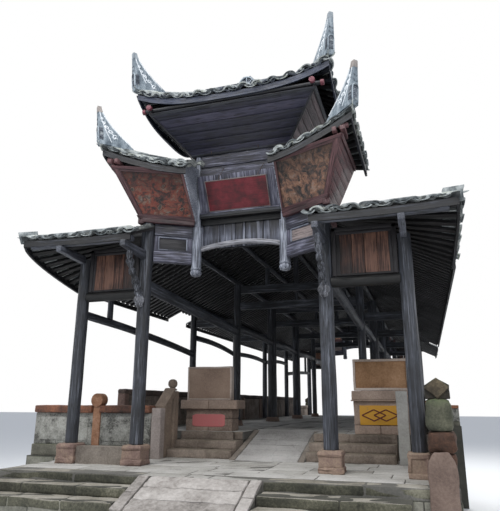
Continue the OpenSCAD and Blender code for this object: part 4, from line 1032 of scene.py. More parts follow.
def eave_tiles(surface, length, pitch, seed, radius=0.122):
    """The last tiles along an eave, each laid by hand: a bent pan tile with its hollow up
    between two round tiles in two layers, none quite in line with the next."""
    field = np.random.default_rng(seed)
    count = max(2, round(length / pitch))
    tile_length = 0.3
    foot, head = (surface(np.full((1, 1), 0.5), np.full((1, 1), v))[0, 0] for v in (0.0, 1.0))
    up_end = tile_length / max(np.linalg.norm(head - foot), tile_length)
    parts = []
    for kind, (bend_r, lift, out) in enumerate(((radius, 0.008, 0.035), (radius * 0.93, -0.02, 0.005),
            (radius * 1.1, -0.012, 0.02))):
        along = (np.arange(count + (kind == 2)) + 0.5 * (kind != 2)) / count
        along = np.clip(along + field.uniform(-0.1, 0.1, len(along)) / count, 0.004, 0.996)
        line = surface(along[:, None], np.array([[0.0, up_end]]))
        ahead = surface(np.minimum(along + 1e-3, 1)[:, None], np.zeros((1, 1)))[:, 0] - surface(
            np.maximum(along - 1e-3, 0)[:, None], np.zeros((1, 1)))[:, 0]
        rise = unit(line[:, 1] - line[:, 0])
        ahead += rise * 0.002 * field.uniform(-0.12, 0.12, (len(along), 1))
        ahead = unit(ahead)
        normal = np.cross(ahead, rise)
        line[:, 0] -= rise * (out + field.uniform(-0.025, 0.03, (len(along), 1)))
        line += normal[:, None] * (lift + field.uniform(-0.008, 0.012, (len(along), 1, 1)))
        line[:, 1] += normal * field.uniform(-0.01, 0.02, (len(along), 1))
        angle = np.radians(np.linspace(-78, 78, 9))
        outline = [(bend_r * math.sin(a), bend_r * 0.72 * math.cos(a) - 0.3 * bend_r) for a in angle]
        outline += [((bend_r - 0.03) * math.sin(a), (bend_r - 0.034) * 0.72 * math.cos(a) - 0.3 * bend_r)
            for a in angle[::-1]]
        outline = np.array(outline) * ((1, 1) if kind < 2 else (-1, -0.8)) + (0, 0 if kind < 2 else -0.01)
        parts.append(carried(line, ahead[:, None], normal[:, None], outline, 0.17))
    return parts


def clay_tiles(name, stops, lichen):
    """Grey clay tiles, fired soft and never glazed: mottled, matt, with pale lichen where
    rain keeps them damp."""
    finish, node, place = new_finish(name)
    mottle = node("TexNoise", {"Vector": place, "Scale": 5.0, "Detail": 8.0, "Roughness": 0.7})
    tile = node("Attribute", {}, attribute_name="tone")
    level = node("Math", {0: mottle, 1: tile.outputs["Fac"]}, operation="ADD")
    base = node("ValToRGB", {"Fac": level}, stops=stops)
    spots = node("TexNoise", {"Vector": place, "Scale": 17.0, "Detail": 5.0})
    crust = node("Math", {0: tile.outputs["Fac"], 1: 0.9, 2: spots}, operation="MULTIPLY_ADD")
    mask = node("MapRange", {"Value": crust, "From Min": 0.6, "From Max": 0.74, "To Max": 0.85})
    skin_colour = node("Mix", {0: mask, 6: base, 7: colour(lichen)}, data_type="RGBA")
    return closed(finish, node, skin_colour.outputs[2], 0.9, level, 0.5, 0.012)


tile_stops = {0.25: "#26282b", 0.45: "#3c3f42", 0.62: "#585b5d", 0.85: "#7d807d"}
grey_tiles = clay_tiles("grey_clay_tiles", tile_stops, "#8f938f")
rafter_wood = timber("dark_rafter_timber", {0.3: "#0a0a0b", 0.5: "#161516", 0.7: "#282628", 0.9: "#403d3f"},
    bare="#55555b", share=0.2)
eave_x, eave_z, slope, roof_t = 4.3, 3.75, math.radians(26), 0.13
ridge_z = eave_z + eave_x * math.tan(slope)
gallery_half, notch_x, row_pitch = -gate_y - 1.0, 1.09, 22.3 / 93


def slope_between(x0, x1, y0, y1):
    """Right-hand slope of the gallery between two distances from the middle, for a stretch."""
    def surface(along, up):
        x = x0 + (x1 - x0) * up + 0 * along
        y = y0 + (y1 - y0) * along + 0 * up
        z = terrace_z + roof_t + ridge_z - x * math.tan(slope) + 0.012 * np.sin(y * 1.3 + x) * np.sin(y * 0.37)
        return xyz(x, y, z)
    return surface


# The eaves run whole but for one stretch beside the first row of columns, on the left as one
# enters from either end, where the last tiles and the board under them have come away.
upper_half = 85 * row_pitch / 2
gap_from, gap_to, torn_x = abs(gate_y) - 7.4, abs(gate_y) - 5.95, eave_x - 0.41
low_slopes = [(eave_x, notch_x, -gallery_half, gap_from), (torn_x, notch_x, gap_from, gap_to),
    (eave_x, notch_x, gap_to, gallery_half)]
parts, bearers = [[], []], []
for k, (x0, x1, y0, y1) in enumerate(low_slopes + [(notch_x, 0.03, -upper_half, upper_half)]):
    surface = slope_between(x0, x1, y0, y1)
    tiles = tiled(surface, y1 - y0, (x0 - x1) / math.cos(slope), row_pitch, 0.195, seed=2 + k)
    bearer = rafters(surface, y1 - y0, row_pitch, cuts=3)
    parts[k == 3] += [tiles, turned_round(tiles)]
    bearers += [bearer, turned_round(bearer)]
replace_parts(add_piece("gallery_tiles_lower", parts[0], grey_tiles), "gallery_roof")
add_piece("gallery_tiles_upper", parts[1], grey_tiles)
fascia = [carried([(eave_x - 0.03, y0, terrace_z + eave_z + 0.02), (eave_x - 0.03, y1, terrace_z + eave_z + 0.02)],
    (1, 0, 0), (0, 0, 1), [(-0.025, -0.06), (0.015, -0.06), (0.015, 0.05), (-0.025, 0.05)])
    for y0, y1 in ((-gallery_half, gap_from), (gap_to, gallery_half))]
add_piece("gallery_rafters", bearers + fascia + [turned_round(p) for p in fascia], rafter_wood)

# Light falls through the laps of the dry-laid tiles and shows as short pale strokes between
# the rafters when the roof is seen from below.
lap_light, node, place = new_finish("light_on_tile_laps")
fleck = node("TexNoise", {"Vector": place, "Scale": 6.0, "Detail": 3.0})
glow = node("ValToRGB", {"Fac": fleck}, stops={0.35: "#2b2e30", 0.6: "#7c8183", 0.8: "#b6babb"})
skin = node("BsdfPrincipled", {"Base Color": glow, "Roughness": 0.8, "Emission Color": glow,
    "Emission Strength": 0.6})
node("OutputMaterial", {"Surface": skin})


box_corners = np.array([(a, b, c) for a in (0, 1) for b in (0, 1) for c in (0, 1)])
box_sides = np.array([(0, 1, 3, 2), (4, 6, 7, 5), (0, 4, 5, 1), (2, 3, 7, 6), (0, 2, 6, 4), (1, 5, 7, 3)])


def sharp_blocks(low, high):
    """Thin tiles with sharp edges: eight corners each, and six faces that look outwards."""
    low, high = (np.atleast_2d(np.asarray(v, float)) for v in (low, high))
    return low[:, None] + (high - low)[:, None] * box_corners, box_sides


def laps(surface, length, depth, spacing):
    """Short thin strips between rafters at the laps of the courses, left out here and there."""
    course, kept_share = 0.155, 0.66
    count, rows_up = max(2, round(length / spacing)), max(3, round(depth / course))
    field = np.random.default_rng(5)
    column, row = grid(count - 1, rows_up)
    along, up = (column + 1) / count, (row + 0.5) / rows_up
    keep = field.uniform(size=len(along)) < kept_share
    along, up = along[keep], up[keep]
    points = surface(along[:, None], up[:, None])[:, 0]
    ahead = surface(np.minimum(along + 1e-3, 1)[:, None], up[:, None])[:, 0] - points
    above = surface(along[:, None], np.minimum(up + 1e-3, 1)[:, None])[:, 0] - points
    ahead = unit(ahead)
    above = unit(above)
    normal = np.cross(ahead, above)
    wide = field.uniform(0.035, 0.06, len(points))[:, None]
    corners = 2 * box_corners - 1
    box = points[:, None] + ahead[:, None] * (wide[:, None] * corners[:, :1]) + above[:, None] * (
        0.007 * corners[:, 1:2]) + normal[:, None] * (-0.075 + 0.003 * corners[:, 2:])
    return joined(box, box_sides)


strokes = [laps(slope_between(torn_x, notch_x, -gallery_half, gallery_half), 2 * gallery_half, 3.1, row_pitch),
    laps(slope_between(notch_x, 0.03, -upper_half, upper_half), 2 * upper_half, 1.18, row_pitch)]
add_piece("gallery_tile_laps", strokes + [mirrored(p) for p in strokes], lap_light)

# Ridge of the gallery: two bedding courses and a row of leaning tiles on edge along the top.
ridge_half = upper_half
crest = terrace_z + ridge_z + roof_t
low, high = coursed(2 * ridge_half, 0.13, 0.065, 0.5, 41, 0.006)
points, quads = sharp_blocks(xyz(-0.1, low[:, 0] - ridge_half, low[:, 1] + crest - 0.06),
    xyz(0.1, high[:, 0] - ridge_half, high[:, 1] + crest - 0.06))
bedding = joined(points, quads)
at_y = np.arange(-ridge_half + 0.05, ridge_half - 0.05, 0.052)
low3 = xyz(-0.075, at_y, crest + 0.065)
points, quads = sharp_blocks(low3, low3 + (0.15, 0.017, 0.115))
points[..., 1] += (points[..., 2] - crest) * 0.45 * np.sign(at_y)[:, None]
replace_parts(add_piece("gallery_ridge_tiles", [bedding, joined(points, quads, 0.15)], grey_tiles),
    "gallery_ridge")

# Lower tier of the gateways: a round rail between the main and outer columns carries a panel of
# upright boards in a dark frame, and arms through the columns carry the eave log.
x0, x1 = main_x + 0.1415, outer_x - 0.1315
low_rail = log((x0 - 0.03, 0, 3.345), (x1 + 0.03, 0, 3.345), 0.104, 91)
black_log = timber("blackened_rail_timber", {0.3: "#050505", 0.5: "#0c0d0e", 0.7: "#17191b", 0.9: "#33363a"},
    bare="#484b4f", share=0.26)
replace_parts(add_piece("gate_low_rails", paired(low_rail), black_log), "low_rails")
red_board = timber("red_brown_board_timber", {0.4: "#0f0c0b", 0.48: "#251a18", 0.57: "#4d342c", 0.68: "#7f5c4c"},
    streak_mm=34, bare="#6c5850", share=0.3)
frame_wood = timber("blackened_frame_timber", {0.3: "#0e0e0f", 0.5: "#1d1b1d", 0.7: "#322f32", 0.9: "#504c50"},
    bare="#69666c", share=0.3)
board_edges = np.linspace(x0 + 0.15, x1 - 0.13, 5)
low = [(a + 0.003, -0.022 - 0.004 * (k % 2), 3.46) for k, a in enumerate(board_edges[:-1])]
high = [(b - 0.003, 0.02, 4.32) for b in board_edges[1:]]
boards = plain_blocks(low, high, 0.006, 4, spread=0.12)
low = [(x0, -0.045, 3.45), (x1 - 0.08, -0.045, 3.45), (x0, -0.045, 4.32), (x0 + 0.08, -0.032, 3.45),
    (x1 - 0.14, -0.032, 3.45), (x0 + 0.08, -0.034, 4.25), (x0 + 0.08, -0.034, 3.45)]
high = [(x0 + 0.08, 0.045, 4.39), (x1, 0.045, 4.39), (x1, 0.045, 4.4), (x0 + 0.155, 0.03, 4.32),
    (x1 - 0.08, 0.03, 4.32), (x1 - 0.08, 0.03, 4.32), (x1 - 0.08, 0.03, 3.49)]
panel_frame = plain_blocks(low, high, 0.008, 4)
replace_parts(add_piece("side_panel_boards", paired(boards), red_board), "side_panels")
add_piece("side_panel_frames", paired(panel_frame), frame_wood)

arm_z = 4.13
low = [(x - 0.06, -1.0, arm_z) for x in (main_x, outer_x)]
high = [(x + 0.06, -0.12, arm_z + 0.12) for x in (main_x, outer_x)]
points, quads = blocks(low, high, 0.012, 8)
points[..., 2] -= np.clip((points[..., 1] + 1.0) / 0.88, 0, 1) * 0.06 * (points[..., 2] < arm_z + 0.05)
arms = joined(points, quads)
eave_log = log((main_x - 0.13, -0.83, arm_z + 0.182), (eave_x - 0.15, -0.83, arm_z + 0.182), 0.064, 93)
grey_arm = timber("grey_bracket_timber", {0.3: "#131417", 0.46: "#292b31", 0.6: "#4b4e57", 0.8: "#7f838f"}, share=0.35)
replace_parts(add_piece("eave_arms", paired(arms, eave_log), grey_arm), "eave_brackets")

# Carved strut under each main arm: one curved piece, pierced and scrolled along its edge, that
# springs from a lobed knob on the column.
strut_line = np.array([(-0.2, 3.2), (-0.27, 3.36), (-0.38, 3.52), (-0.5, 3.64), (-0.61, 3.78), (-0.68, 3.93),
    (-0.71, 4.13)])
share = np.linspace(0, 1, 60)
knots = np.linspace(0, 1, len(strut_line))
strut_path = xyz(main_x, np.interp(share, knots, strut_line[:, 0]), np.interp(share, knots, strut_line[:, 1]))
turn = np.arange(16) * 2 * math.pi / 16
scroll = 0.046 + 0.03 * np.abs(np.sin(share * 19))[:, None] + 0.012 * np.cos(turn * 2)
strut = tube(strut_path, scroll * np.where(np.abs(np.cos(turn)) > 0.7, 0.9, 1.0), 16, lean_x)
curls = []
for k, at_share in enumerate((0.15, 0.36, 0.57, 0.78)):
    middle_y, middle_z = (np.interp(at_share, knots, strut_line[:, c]) for c in (0, 1))
    spin = np.linspace(0, 4.2 * math.pi, 40)
    reach_out = 0.015 + 0.05 * spin / spin[-1]
    spiral = xyz(main_x, middle_y + reach_out * np.cos(spin + k), middle_z + reach_out * np.sin(spin + k))
    for dx in (-0.052, 0.052):
        curls.append(tube(spiral + (dx, 0, 0), 0.011, 6, lean_x))
knob = turned([(0.01, -0.14), (0.05, -0.13), (0.085, -0.095), (0.075, -0.07), (0.1, -0.04), (0.118, 0.0),
    (0.112, 0.045), (0.085, 0.08), (0.06, 0.1), (0.075, 0.12), (0.03, 0.14)], (main_x, -0.2175, 3.17), 32, 8, 0.34)
carved = timber("carved_dark_timber", {0.4: "#08090a", 0.48: "#232428", 0.56: "#5b5e66", 0.68: "#a4a7b0"},
    streak_mm=22, share=0.5, bump=1.0)
pale_knob = timber("pale_worn_knob_timber", {0.4: "#1b1c1f", 0.47: "#46474c", 0.55: "#7b7c82", 0.68: "#b3b4ba"},
    streak_mm=34, bump=0.9)
add_piece("carved_struts", paired(strut, *curls), carved)
add_piece("strut_knobs", paired(knob), pale_knob)


# Side roofs: the lowest roofs of the gateway. They run along the front, turn the corner and
# fall to meet the gallery's slope.
def swept(eave, crest, sag=0.0):
    """Roof surface between an eaves line and a crest line, with a slight hollow."""
    def surface(along, up):
        foot, head = eave(along + 0 * up), crest(along + 0 * up)
        points = foot + (head - foot) * up[..., None]
        points[..., 2] -= sag * np.sin(math.pi * up) + 0 * along
        return points + (0, gate_y, terrace_z)
    return surface


def blend(a, b, t):
    """Straight share from one value to another."""
    return a + (b - a) * t


def side_eave(u):
    front = u <= 0.5
    t, r = np.clip(u / 0.5, 0, 1), np.clip((u - 0.5) / 0.5, 0, 1)
    return xyz(np.where(front, blend(1.78, 4.36, t), blend(4.36, 4.3, r)),
        np.where(front, -0.95, blend(-0.95, 1.0, r)),
        np.where(front, 4.47 + 0.06 * t ** 3, blend(4.53, eave_z + roof_t, r ** 0.6)))


def side_crest(u):
    return xyz(blend(1.78, 2.14, u), blend(0.16, 1.0, u),
        blend(4.95, eave_z + roof_t + (eave_x - 2.14) * math.tan(slope), u))


def part_of(surface, u0, u1):
    """The stretch of a surface between two shares along its eaves."""
    return lambda along, up: surface(u0 + (u1 - u0) * along, up)


def fascia_board(surface, height, u0, u1, steps=28):
    """Board under the edge of a roof, following its sweep."""
    lower, upper, thick, set_in = -0.135 - height, -0.085, 0.045, 0.02
    along = np.linspace(u0, u1, steps)
    line = surface(along[:, None], np.full((1, 1), set_in))[:, 0]
    inner = surface(along[:, None], np.full((1, 1), set_in + 0.1))[:, 0] - line
    inner[:, 2] = 0
    inner = unit(inner)
    return carried(line, inner, (0, 0, 1), [(0, lower), (thick, lower), (thick, upper), (0, upper)])


side_surface = swept(side_eave, side_crest)
front_part, return_part = part_of(side_surface, 0, 0.5), part_of(side_surface, 0.5, 1)
side_size = (0.235, 0.15, 0.042, 0.04)  # pitch, course, swell and thickness of the tiles
side_tiles = [tiled(front_part, 2.58, 1.15, *side_size, seed=3), tiled(return_part, 2.05, 2.3, *side_size, seed=4)]
pale_tiles = clay_tiles("lichened_side_tiles", {0.25: "#2c2f30", 0.45: "#484b4b", 0.62: "#6a6d6a", 0.85: "#909389"},
    "#a5a99f")
pale_ends = clay_tiles("pale_eave_ends", {0.25: "#2b3033", 0.42: "#6a7072", 0.58: "#a7acab", 0.8: "#d2d5d1"}, "#9da294")


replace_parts(add_piece("side_roof_tiles", far_too(both_sides(side_tiles)), pale_tiles), "side_roofs")
side_ends = eave_tiles(front_part, 2.58, 0.33, 60) + eave_tiles(return_part, 2.05, 0.33, 61)
add_piece("side_roof_eave_tiles", far_too(both_sides(side_ends)), pale_ends)
side_frame = [rafters(front_part, 2.58, 0.235), rafters(return_part, 2.05, 0.235)]
side_fascia = [fascia_board(side_surface, 0.08, 0, 0.5), fascia_board(side_surface, 0.08, 0.5, 1)]
dark_fascia = timber("dark_fascia_timber", {0.34: "#09090b", 0.46: "#131417", 0.58: "#22242b", 0.74: "#4c4f5a"},
    bare="#6c707c", share=0.28)
add_piece("side_roof_rafters", far_too(both_sides(side_frame)), rafter_wood)
add_piece("side_roof_fascias", far_too(both_sides(side_fascia)), dark_fascia)

# Hanging posts: they carry the front of the centre box and end in the air above the passage in
# a ring collar and a lobed melon knob.
hang_x, hang_y, wing_z = 0.99, 0.55, 4.04
knob_z = wing_z - 0.185
knob_profile = [(0.01, -0.079), (0.06, -0.076), (0.105, -0.055), (0.127, -0.012), (0.127, 0.014), (0.108, 0.052),
    (0.09, 0.06), (0.112, 0.064), (0.118, 0.075), (0.118, 0.096), (0.108, 0.106), (0.1065, 0.12), (0.107, 0.5),
    (0.1065, 1.015), (0.1, 1.024), (0.074, 1.03), (0.074, 1.3), (0.073, 1.8), (0.074, 2.2), (0.073, 2.695)]
hanger = turned([(r, knob_z + z) for r, z in knob_profile], (hang_x, hang_y, 0), 40)
bend = np.arctan2(hanger.points[:, 1] - hang_y, hanger.points[:, 0] - hang_x)
pinch = np.where(hanger.points[:, 2] < knob_z + 0.058, 1 - 0.16 * (1 - np.abs(np.cos(4 * bend))), 1.0)
hanger.points[:, :2] = (hang_x, hang_y) + (hanger.points[:, :2] - (hang_x, hang_y)) * pinch[:, None]
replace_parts(add_piece("hanging_post_logs", paired(hanger), grey_wood), "hanging_posts")

# Wing frames: two grey-blue beams and a sunk panel, set at a slant between each hanging post
# and main column.
wing_len = math.hypot(main_x - hang_x, hang_y)
wing_turn = math.atan2(-hang_y, main_x - hang_x)


def swung(part, angle, place):
    """Swings a part about its own upright line, then sets it at a place."""
    x, y, z = part.points.T
    c, s = math.cos(angle), math.sin(angle)
    return part._replace(points=xyz(x * c - y * s, x * s + y * c, z) + place)


def on_wing(part):
    """Sets a part drawn along X on the slanting line of a wing."""
    return swung(part, wing_turn, (hang_x, hang_y, 0))


start, end = 0.1082, wing_len - 0.1377
low = [(start, -0.075, wing_z), (start, -0.075, wing_z + 0.59), (start, -0.05, wing_z + 0.24),
    (end - 0.07, -0.05, wing_z + 0.24), (start + 0.07, -0.04, wing_z + 0.24), (start + 0.07, -0.04, wing_z + 0.54),
    (start + 0.07, -0.04, wing_z + 0.24), (end - 0.12, -0.04, wing_z + 0.24)]
high = [(end, 0.075, wing_z + 0.24), (end, 0.075, wing_z + 0.84), (start + 0.07, 0.05, wing_z + 0.59),
    (end, 0.05, wing_z + 0.59), (end - 0.07, 0.03, wing_z + 0.29), (end - 0.07, 0.03, wing_z + 0.59),
    (start + 0.12, 0.03, wing_z + 0.59), (end - 0.07, 0.03, wing_z + 0.59)]
wing_beams = on_wing(worn_blocks(low, high, 0.012, 5, 0.3, 0.003, 13))
sunk = on_wing(plain_blocks((start + 0.1, -0.02, wing_z + 0.27), (end - 0.1, 0.02, wing_z + 0.56), 0.004, 4))
a, b, c, d = start + 0.108, end - 0.108, wing_z + 0.278, wing_z + 0.552
beading = on_wing(plain_blocks([(a, -0.052, c), (a, -0.052, d), (a, -0.052, c), (b, -0.052, c)],
    [(b, 0, c + 0.016), (b + 0.016, 0, d + 0.016), (a + 0.016, 0, d), (b + 0.016, 0, d)], 0.005, 6))
add_piece("wing_beadings", paired(beading), grey_wood)
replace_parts(add_piece("wing_beams", paired(wing_beams), beam_wood), "wing_frames")
tan_panel = timber("pinkish_tan_panel", {0.3: "#5c524f", 0.46: "#8d807d", 0.6: "#a79a97", 0.8: "#bdb3af"},
    bare="#b8aeac", share=0.3)
black_panel = timber("blackened_panel", {0.3: "#101013", 0.5: "#1e1d22", 0.8: "#302f36"}, bare="#3b3a42", share=0.1)
near_sunk, far_sunk = at_gates(sunk)
add_piece("wing_sunk_panels_pale", [near_sunk, far_sunk], tan_panel)
add_piece("wing_sunk_panels_dark", [turned_round(mirrored(p)) for p in (near_sunk, far_sunk)], black_panel)


# Wing panels: broad leaning boards painted in oils, in a moulded frame, that flare outwards up
# to the wing roofs; plain red boards close the return round the corner.
def on_patch(part, corners, length, height):
    """Carries a part drawn as (along, up, off) in metres onto a skewed panel between four
    corners: low left, low right, high right, high left; off is square to the panel."""
    a, b, c, d = (np.asarray(v, float) for v in corners)
    p, q, off = part.points[:, 0:1] / length, part.points[:, 1:2] / height, part.points[:, 2:3]
    ahead = (1 - q) * (b - a) + q * (c - d)
    above = (1 - p) * (d - a) + p * (c - b)
    normal = unit(np.cross(ahead, above))
    place = (1 - q) * ((1 - p) * a + p * b) + q * ((1 - p) * d + p * c)
    return part._replace(points=place + normal * off)


front_corners = [(hang_x, hang_y - 0.125, 4.98), (main_x + 0.13, -0.16, 4.98), (2.42, -0.78, 5.984),
    (hang_x, -0.33, 5.9)]
return_corners = [(main_x + 0.13, -0.16, 4.98), (main_x + 0.13, 0.85, 4.98), (2.48, 0.85, 5.984), (2.42, -0.78, 5.984)]
front_l, front_h = 1.33, 1.12
field_part = on_patch(plain_blocks((0.03, 0.06, -0.04), (front_l - 0.1, front_h - 0.06, 0.006), 0.004, 12),
    front_corners, front_l, front_h)
low = [(0, 0, -0.04), (0, front_h - 0.07, -0.04), (0, 0.0, -0.04), (front_l - 0.11, 0, -0.04), (0.0, 0.09, 0.0),
    (0.0, front_h - 0.105, 0.0), (front_l - 0.135, 0.09, 0.0)]
high = [(front_l, 0.09, 0.04), (front_l, front_h + 0.01, 0.035), (0.05, front_h, 0.03), (front_l, front_h, 0.032),
    (front_l - 0.1, 0.105, 0.026), (front_l - 0.1, front_h - 0.06, 0.022), (front_l - 0.105, front_h - 0.08, 0.022)]
moulding = on_patch(plain_blocks(low, high, 0.008, 4), front_corners, front_l, front_h)
low = [(0, k * 0.188, -0.04) for k in range(6)]
high = [(1.4, (k + 1) * 0.188 - 0.006, 0.006) for k in range(6)]
return_boards = on_patch(plain_blocks(low, high, 0.006, 4, spread=0.13), return_corners, 1.4, 1.128)
low = [(0, 0, 0.0), (0, 1.05, 0.0)]
high = [(1.4, 0.08, 0.03), (1.4, 1.13, 0.035)]
return_rails = on_patch(plain_blocks(low, high, 0.008, 6), return_corners, 1.4, 1.128)
sill = on_wing(plain_blocks((0.08, -0.15, 4.88), (wing_len + 0.12, 0.06, 4.98), 0.02, 8))
return_sill = plain_blocks([(main_x + 0.02, -0.17, 4.86), (main_x + 0.04, -0.1, 4.7)],
    [(main_x + 0.165, 0.86, 4.99), (main_x + 0.14, 0.86, 4.88)], 0.012, 6)
red_return = timber("dark_red_return_boards", {0.3: "#27161a", 0.46: "#47282c", 0.6: "#643c3e", 0.8: "#86605f"},
    streak_mm=30, bare="#8a7071", share=0.25)
red_rail = timber("red_brown_moulding", {0.3: "#211518", 0.46: "#432a2d", 0.6: "#5f3f41", 0.8: "#876664"},
    streak_mm=30, bare="#8a7474", share=0.3)


def painted_panel(name, ground, petals, line_code, band_tilt):
    """Oil painting on boards, faded and rubbed: mottled leaf masses of invented shape, with
    blossoms a hand wide from warped cells, thin stalks from warped bands, and a darkening
    towards the top under the eaves, partly soot and partly painted shade."""
    finish, node, place = new_finish(name)
    masses = node("TexNoise", {"Vector": place, "Scale": 5.0, "Detail": 10.0, "Roughness": 0.76, "Distortion": 0.6})
    back = node("ValToRGB", {"Fac": masses}, stops=ground)
    bend_noise = node("TexNoise", {"Vector": place, "Scale": 5.0, "Detail": 3.0})
    warped = node("Mix", {0: 0.12, 4: place, 5: bend_noise.outputs["Color"]}, data_type="VECTOR")
    cells = node("TexVoronoi", {"Vector": warped.outputs[1], "Scale": 5.2, "Randomness": 0.95}, feature="F1")
    pick = node("SeparateXYZ", {0: cells.outputs["Color"]})
    size = node("Math", {0: pick.outputs["X"], 1: 0.5, 2: -0.14}, operation="MULTIPLY_ADD")
    inside = node("Math", {0: size, 1: cells.outputs["Distance"]}, operation="SUBTRACT")
    blossom = node("ValToRGB", {"Fac": node("MapRange", {"Value": inside, "From Max": 0.22})}, stops=petals)
    mask = node("MapRange", {"Value": inside, "From Min": -0.01, "From Max": 0.02, "To Max": 0.9})
    art = node("Mix", {0: mask, 6: back, 7: blossom}, data_type="RGBA")
    stalks = node("TexWave", {"Vector": warped.outputs[1], "Scale": 1.5, "Distortion": 14.0, "Detail": 3.0,
        "Detail Scale": 1.6}, bands_direction=band_tilt)
    thin = node("MapRange", {"Value": stalks.outputs["Fac"], "From Min": 0.16, "From Max": 0.04, "To Max": 0.5})
    art = node("Mix", {0: thin, 6: art.outputs[2], 7: colour(line_code)}, data_type="RGBA")
    rub = node("TexNoise", {"Vector": place, "Scale": 11.0, "Detail": 9.0, "Roughness": 0.75})
    bare = node("MapRange", {"Value": rub, "From Min": 0.46, "From Max": 0.66, "To Max": 0.6})
    aged = node("Mix", {0: bare, 6: art.outputs[2], 7: colour("#46403e")}, data_type="RGBA")
    # The upper part of each panel is darkened: partly soot, partly painted shade under the roof.
    height = node("SeparateXYZ", {0: place}).outputs["Z"]
    soot_and_shade = node("MapRange", {"Value": height, "From Min": 9.55, "From Max": 10.0, "To Min": 1.0, "To Max": 0.25})
    aged = node("Mix", {0: 1.0, 6: aged.outputs[2], 7: soot_and_shade}, data_type="RGBA", blend_type="MULTIPLY")
    return closed(finish, node, aged.outputs[2], 0.62, rub, 0.4, 0.01)


ochre_ground = {0.38: "#1f1c1b", 0.45: "#4e4541", 0.5: "#825d4b", 0.56: "#9a745c", 0.64: "#968981"}
ochre_petals = {0.0: "#141211", 0.2: "#221d1b", 0.28: "#8f7159", 0.55: "#45403a", 0.9: "#23211f"}
ochre_art = painted_panel("faded_ochre_painting", ochre_ground, ochre_petals, "#241d1a", "X")
red_ground = {0.38: "#1b1818", 0.45: "#4e312c", 0.5: "#853b2d", 0.56: "#78503f", 0.64: "#7e776f"}
red_petals = {0.0: "#141212", 0.2: "#211c1b", 0.28: "#96533d", 0.55: "#585d56", 0.9: "#2d322d"}
red_art = painted_panel("faded_red_painting", red_ground, red_petals, "#1e1818", "Z")
near_field = moved(field_part, (0, gate_y, terrace_z))
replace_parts(add_piece("wing_paintings_ochre", far_too([near_field]), ochre_art), "wing_flares")
add_piece("wing_paintings_red", [turned_round(mirrored(p)) for p in far_too([near_field])], red_art)
add_piece("wing_mouldings", paired(moulding, return_rails, sill, return_sill), red_rail)
add_piece("wing_return_boards", paired(return_boards), red_return)

# Beam ends show at the corner of each wing, where the eave beams meet under the horn.
points, quads = blocks([(2.25, -0.84, 6.02), (2.4, -0.84, 6.03), (2.36, -0.76, 6.12)],
    [(2.33, -0.4, 6.11), (2.5, -0.4, 6.12), (2.55, -0.68, 6.2)], 0.01, 6)
add_piece("wing_corner_beams", paired(joined(points, quads)), red_rail)

# Cheek boards close the gap beside the plaque, between the hanging post and the leaning panel.
cheek_outline = [(hang_y - 0.125, 4.98), (hang_y - 0.04, 4.98), (hang_y - 0.04, 6.25), (0.0, 6.15), (-0.33, 5.93),
    (-0.32, 5.88)]
cheek = carried([(hang_x - 0.03, 0, 0), (hang_x - 0.002, 0, 0)], (0, 1, 0), (0, 0, 1), cheek_outline)
add_piece("cheek_boards", paired(cheek), grey_wood)


# Wing roofs: small hipped roofs with eaves swept up to the horns at their corners.
def wing_eave(u):
    front = u <= 0.6
    t, r = np.clip(u / 0.6, 0, 1), np.clip((u - 0.6) / 0.4, 0, 1)
    return xyz(np.where(front, blend(0.88, 2.66, t), blend(2.66, 2.74, r)),
        np.where(front, blend(-0.4, -0.86, t), blend(-0.86, 1.0, r)),
        np.where(front, 5.99 + 0.47 * t ** 1.6, 6.46 - 0.42 * r ** 0.7))


def wing_crest(u):
    return xyz(1.095, blend(0.1, 1.0, u), 6.48 - 0.24 * (1 - u) ** 6)


wing_surface = swept(wing_eave, wing_crest, 0.06)
wing_front, wing_return = part_of(wing_surface, 0, 0.6), part_of(wing_surface, 0.6, 1)
wing_size = (0.23, 0.145, 0.038, 0.034)
wing_tiles = [tiled(wing_front, 1.9, 1.3, *wing_size, seed=6), tiled(wing_return, 1.95, 1.8, *wing_size, seed=7)]
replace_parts(add_piece("wing_roof_tiles", far_too(both_sides(wing_tiles)), pale_tiles), "wing_roofs")


# On the left as one enters, the roof's inner end runs two tiles further, up to the plaque.
def inner_eave(u):
    return xyz(blend(0.5, 0.9, u), blend(-0.36, -0.4, u), blend(5.93, 6.0, u))


def inner_crest(u):
    return xyz(blend(0.62, 1.0, u), 0.02, blend(6.2, 6.32, u))


inner_end = swept(inner_eave, inner_crest)
add_piece("wing_roof_inner_ends", far_too([mirrored(tiled(inner_end, 0.4, 0.5, 0.2, *wing_size[1:], seed=8))]),
    pale_tiles)


def raised(surface, back, up):
    """The same surface set back and up, for tiles piled on the eave."""
    return lambda along, rise: surface(along, rise) + (0, back, up)


piled = []
for k in (1, 2):
    upper_eave = raised(part_of(wing_surface, 0, 0.56), 0.07 * k, 0.055 * k)
    piled += [mirrored(part) for part in eave_tiles(upper_eave, 1.75, 0.28, 70 + k, 0.105)]
wing_ends = eave_tiles(part_of(wing_surface, 0.035, 0.6), 1.8, 0.32, 62) + eave_tiles(wing_return, 1.95, 0.32, 63)
add_piece("wing_roof_eave_tiles", far_too(both_sides(wing_ends) + piled), pale_ends)
wing_frame = [rafters(wing_front, 1.9, 0.23), rafters(wing_return, 1.95, 0.23)]
add_piece("wing_roof_rafters", far_too(both_sides(wing_frame)), rafter_wood)
wing_fascia = [fascia_board(wing_surface, 0.08, 0, 0.6), fascia_board(wing_surface, 0.08, 0.6, 1)]
blue_fascia = timber("blue_grey_fascia_timber", {0.3: "#14171e", 0.46: "#262b38", 0.6: "#3d4457", 0.8: "#6a7184"},
    bare="#858c9e", share=0.3)
add_piece("wing_fascias", far_too(both_sides(wing_fascia)), dark_fascia)

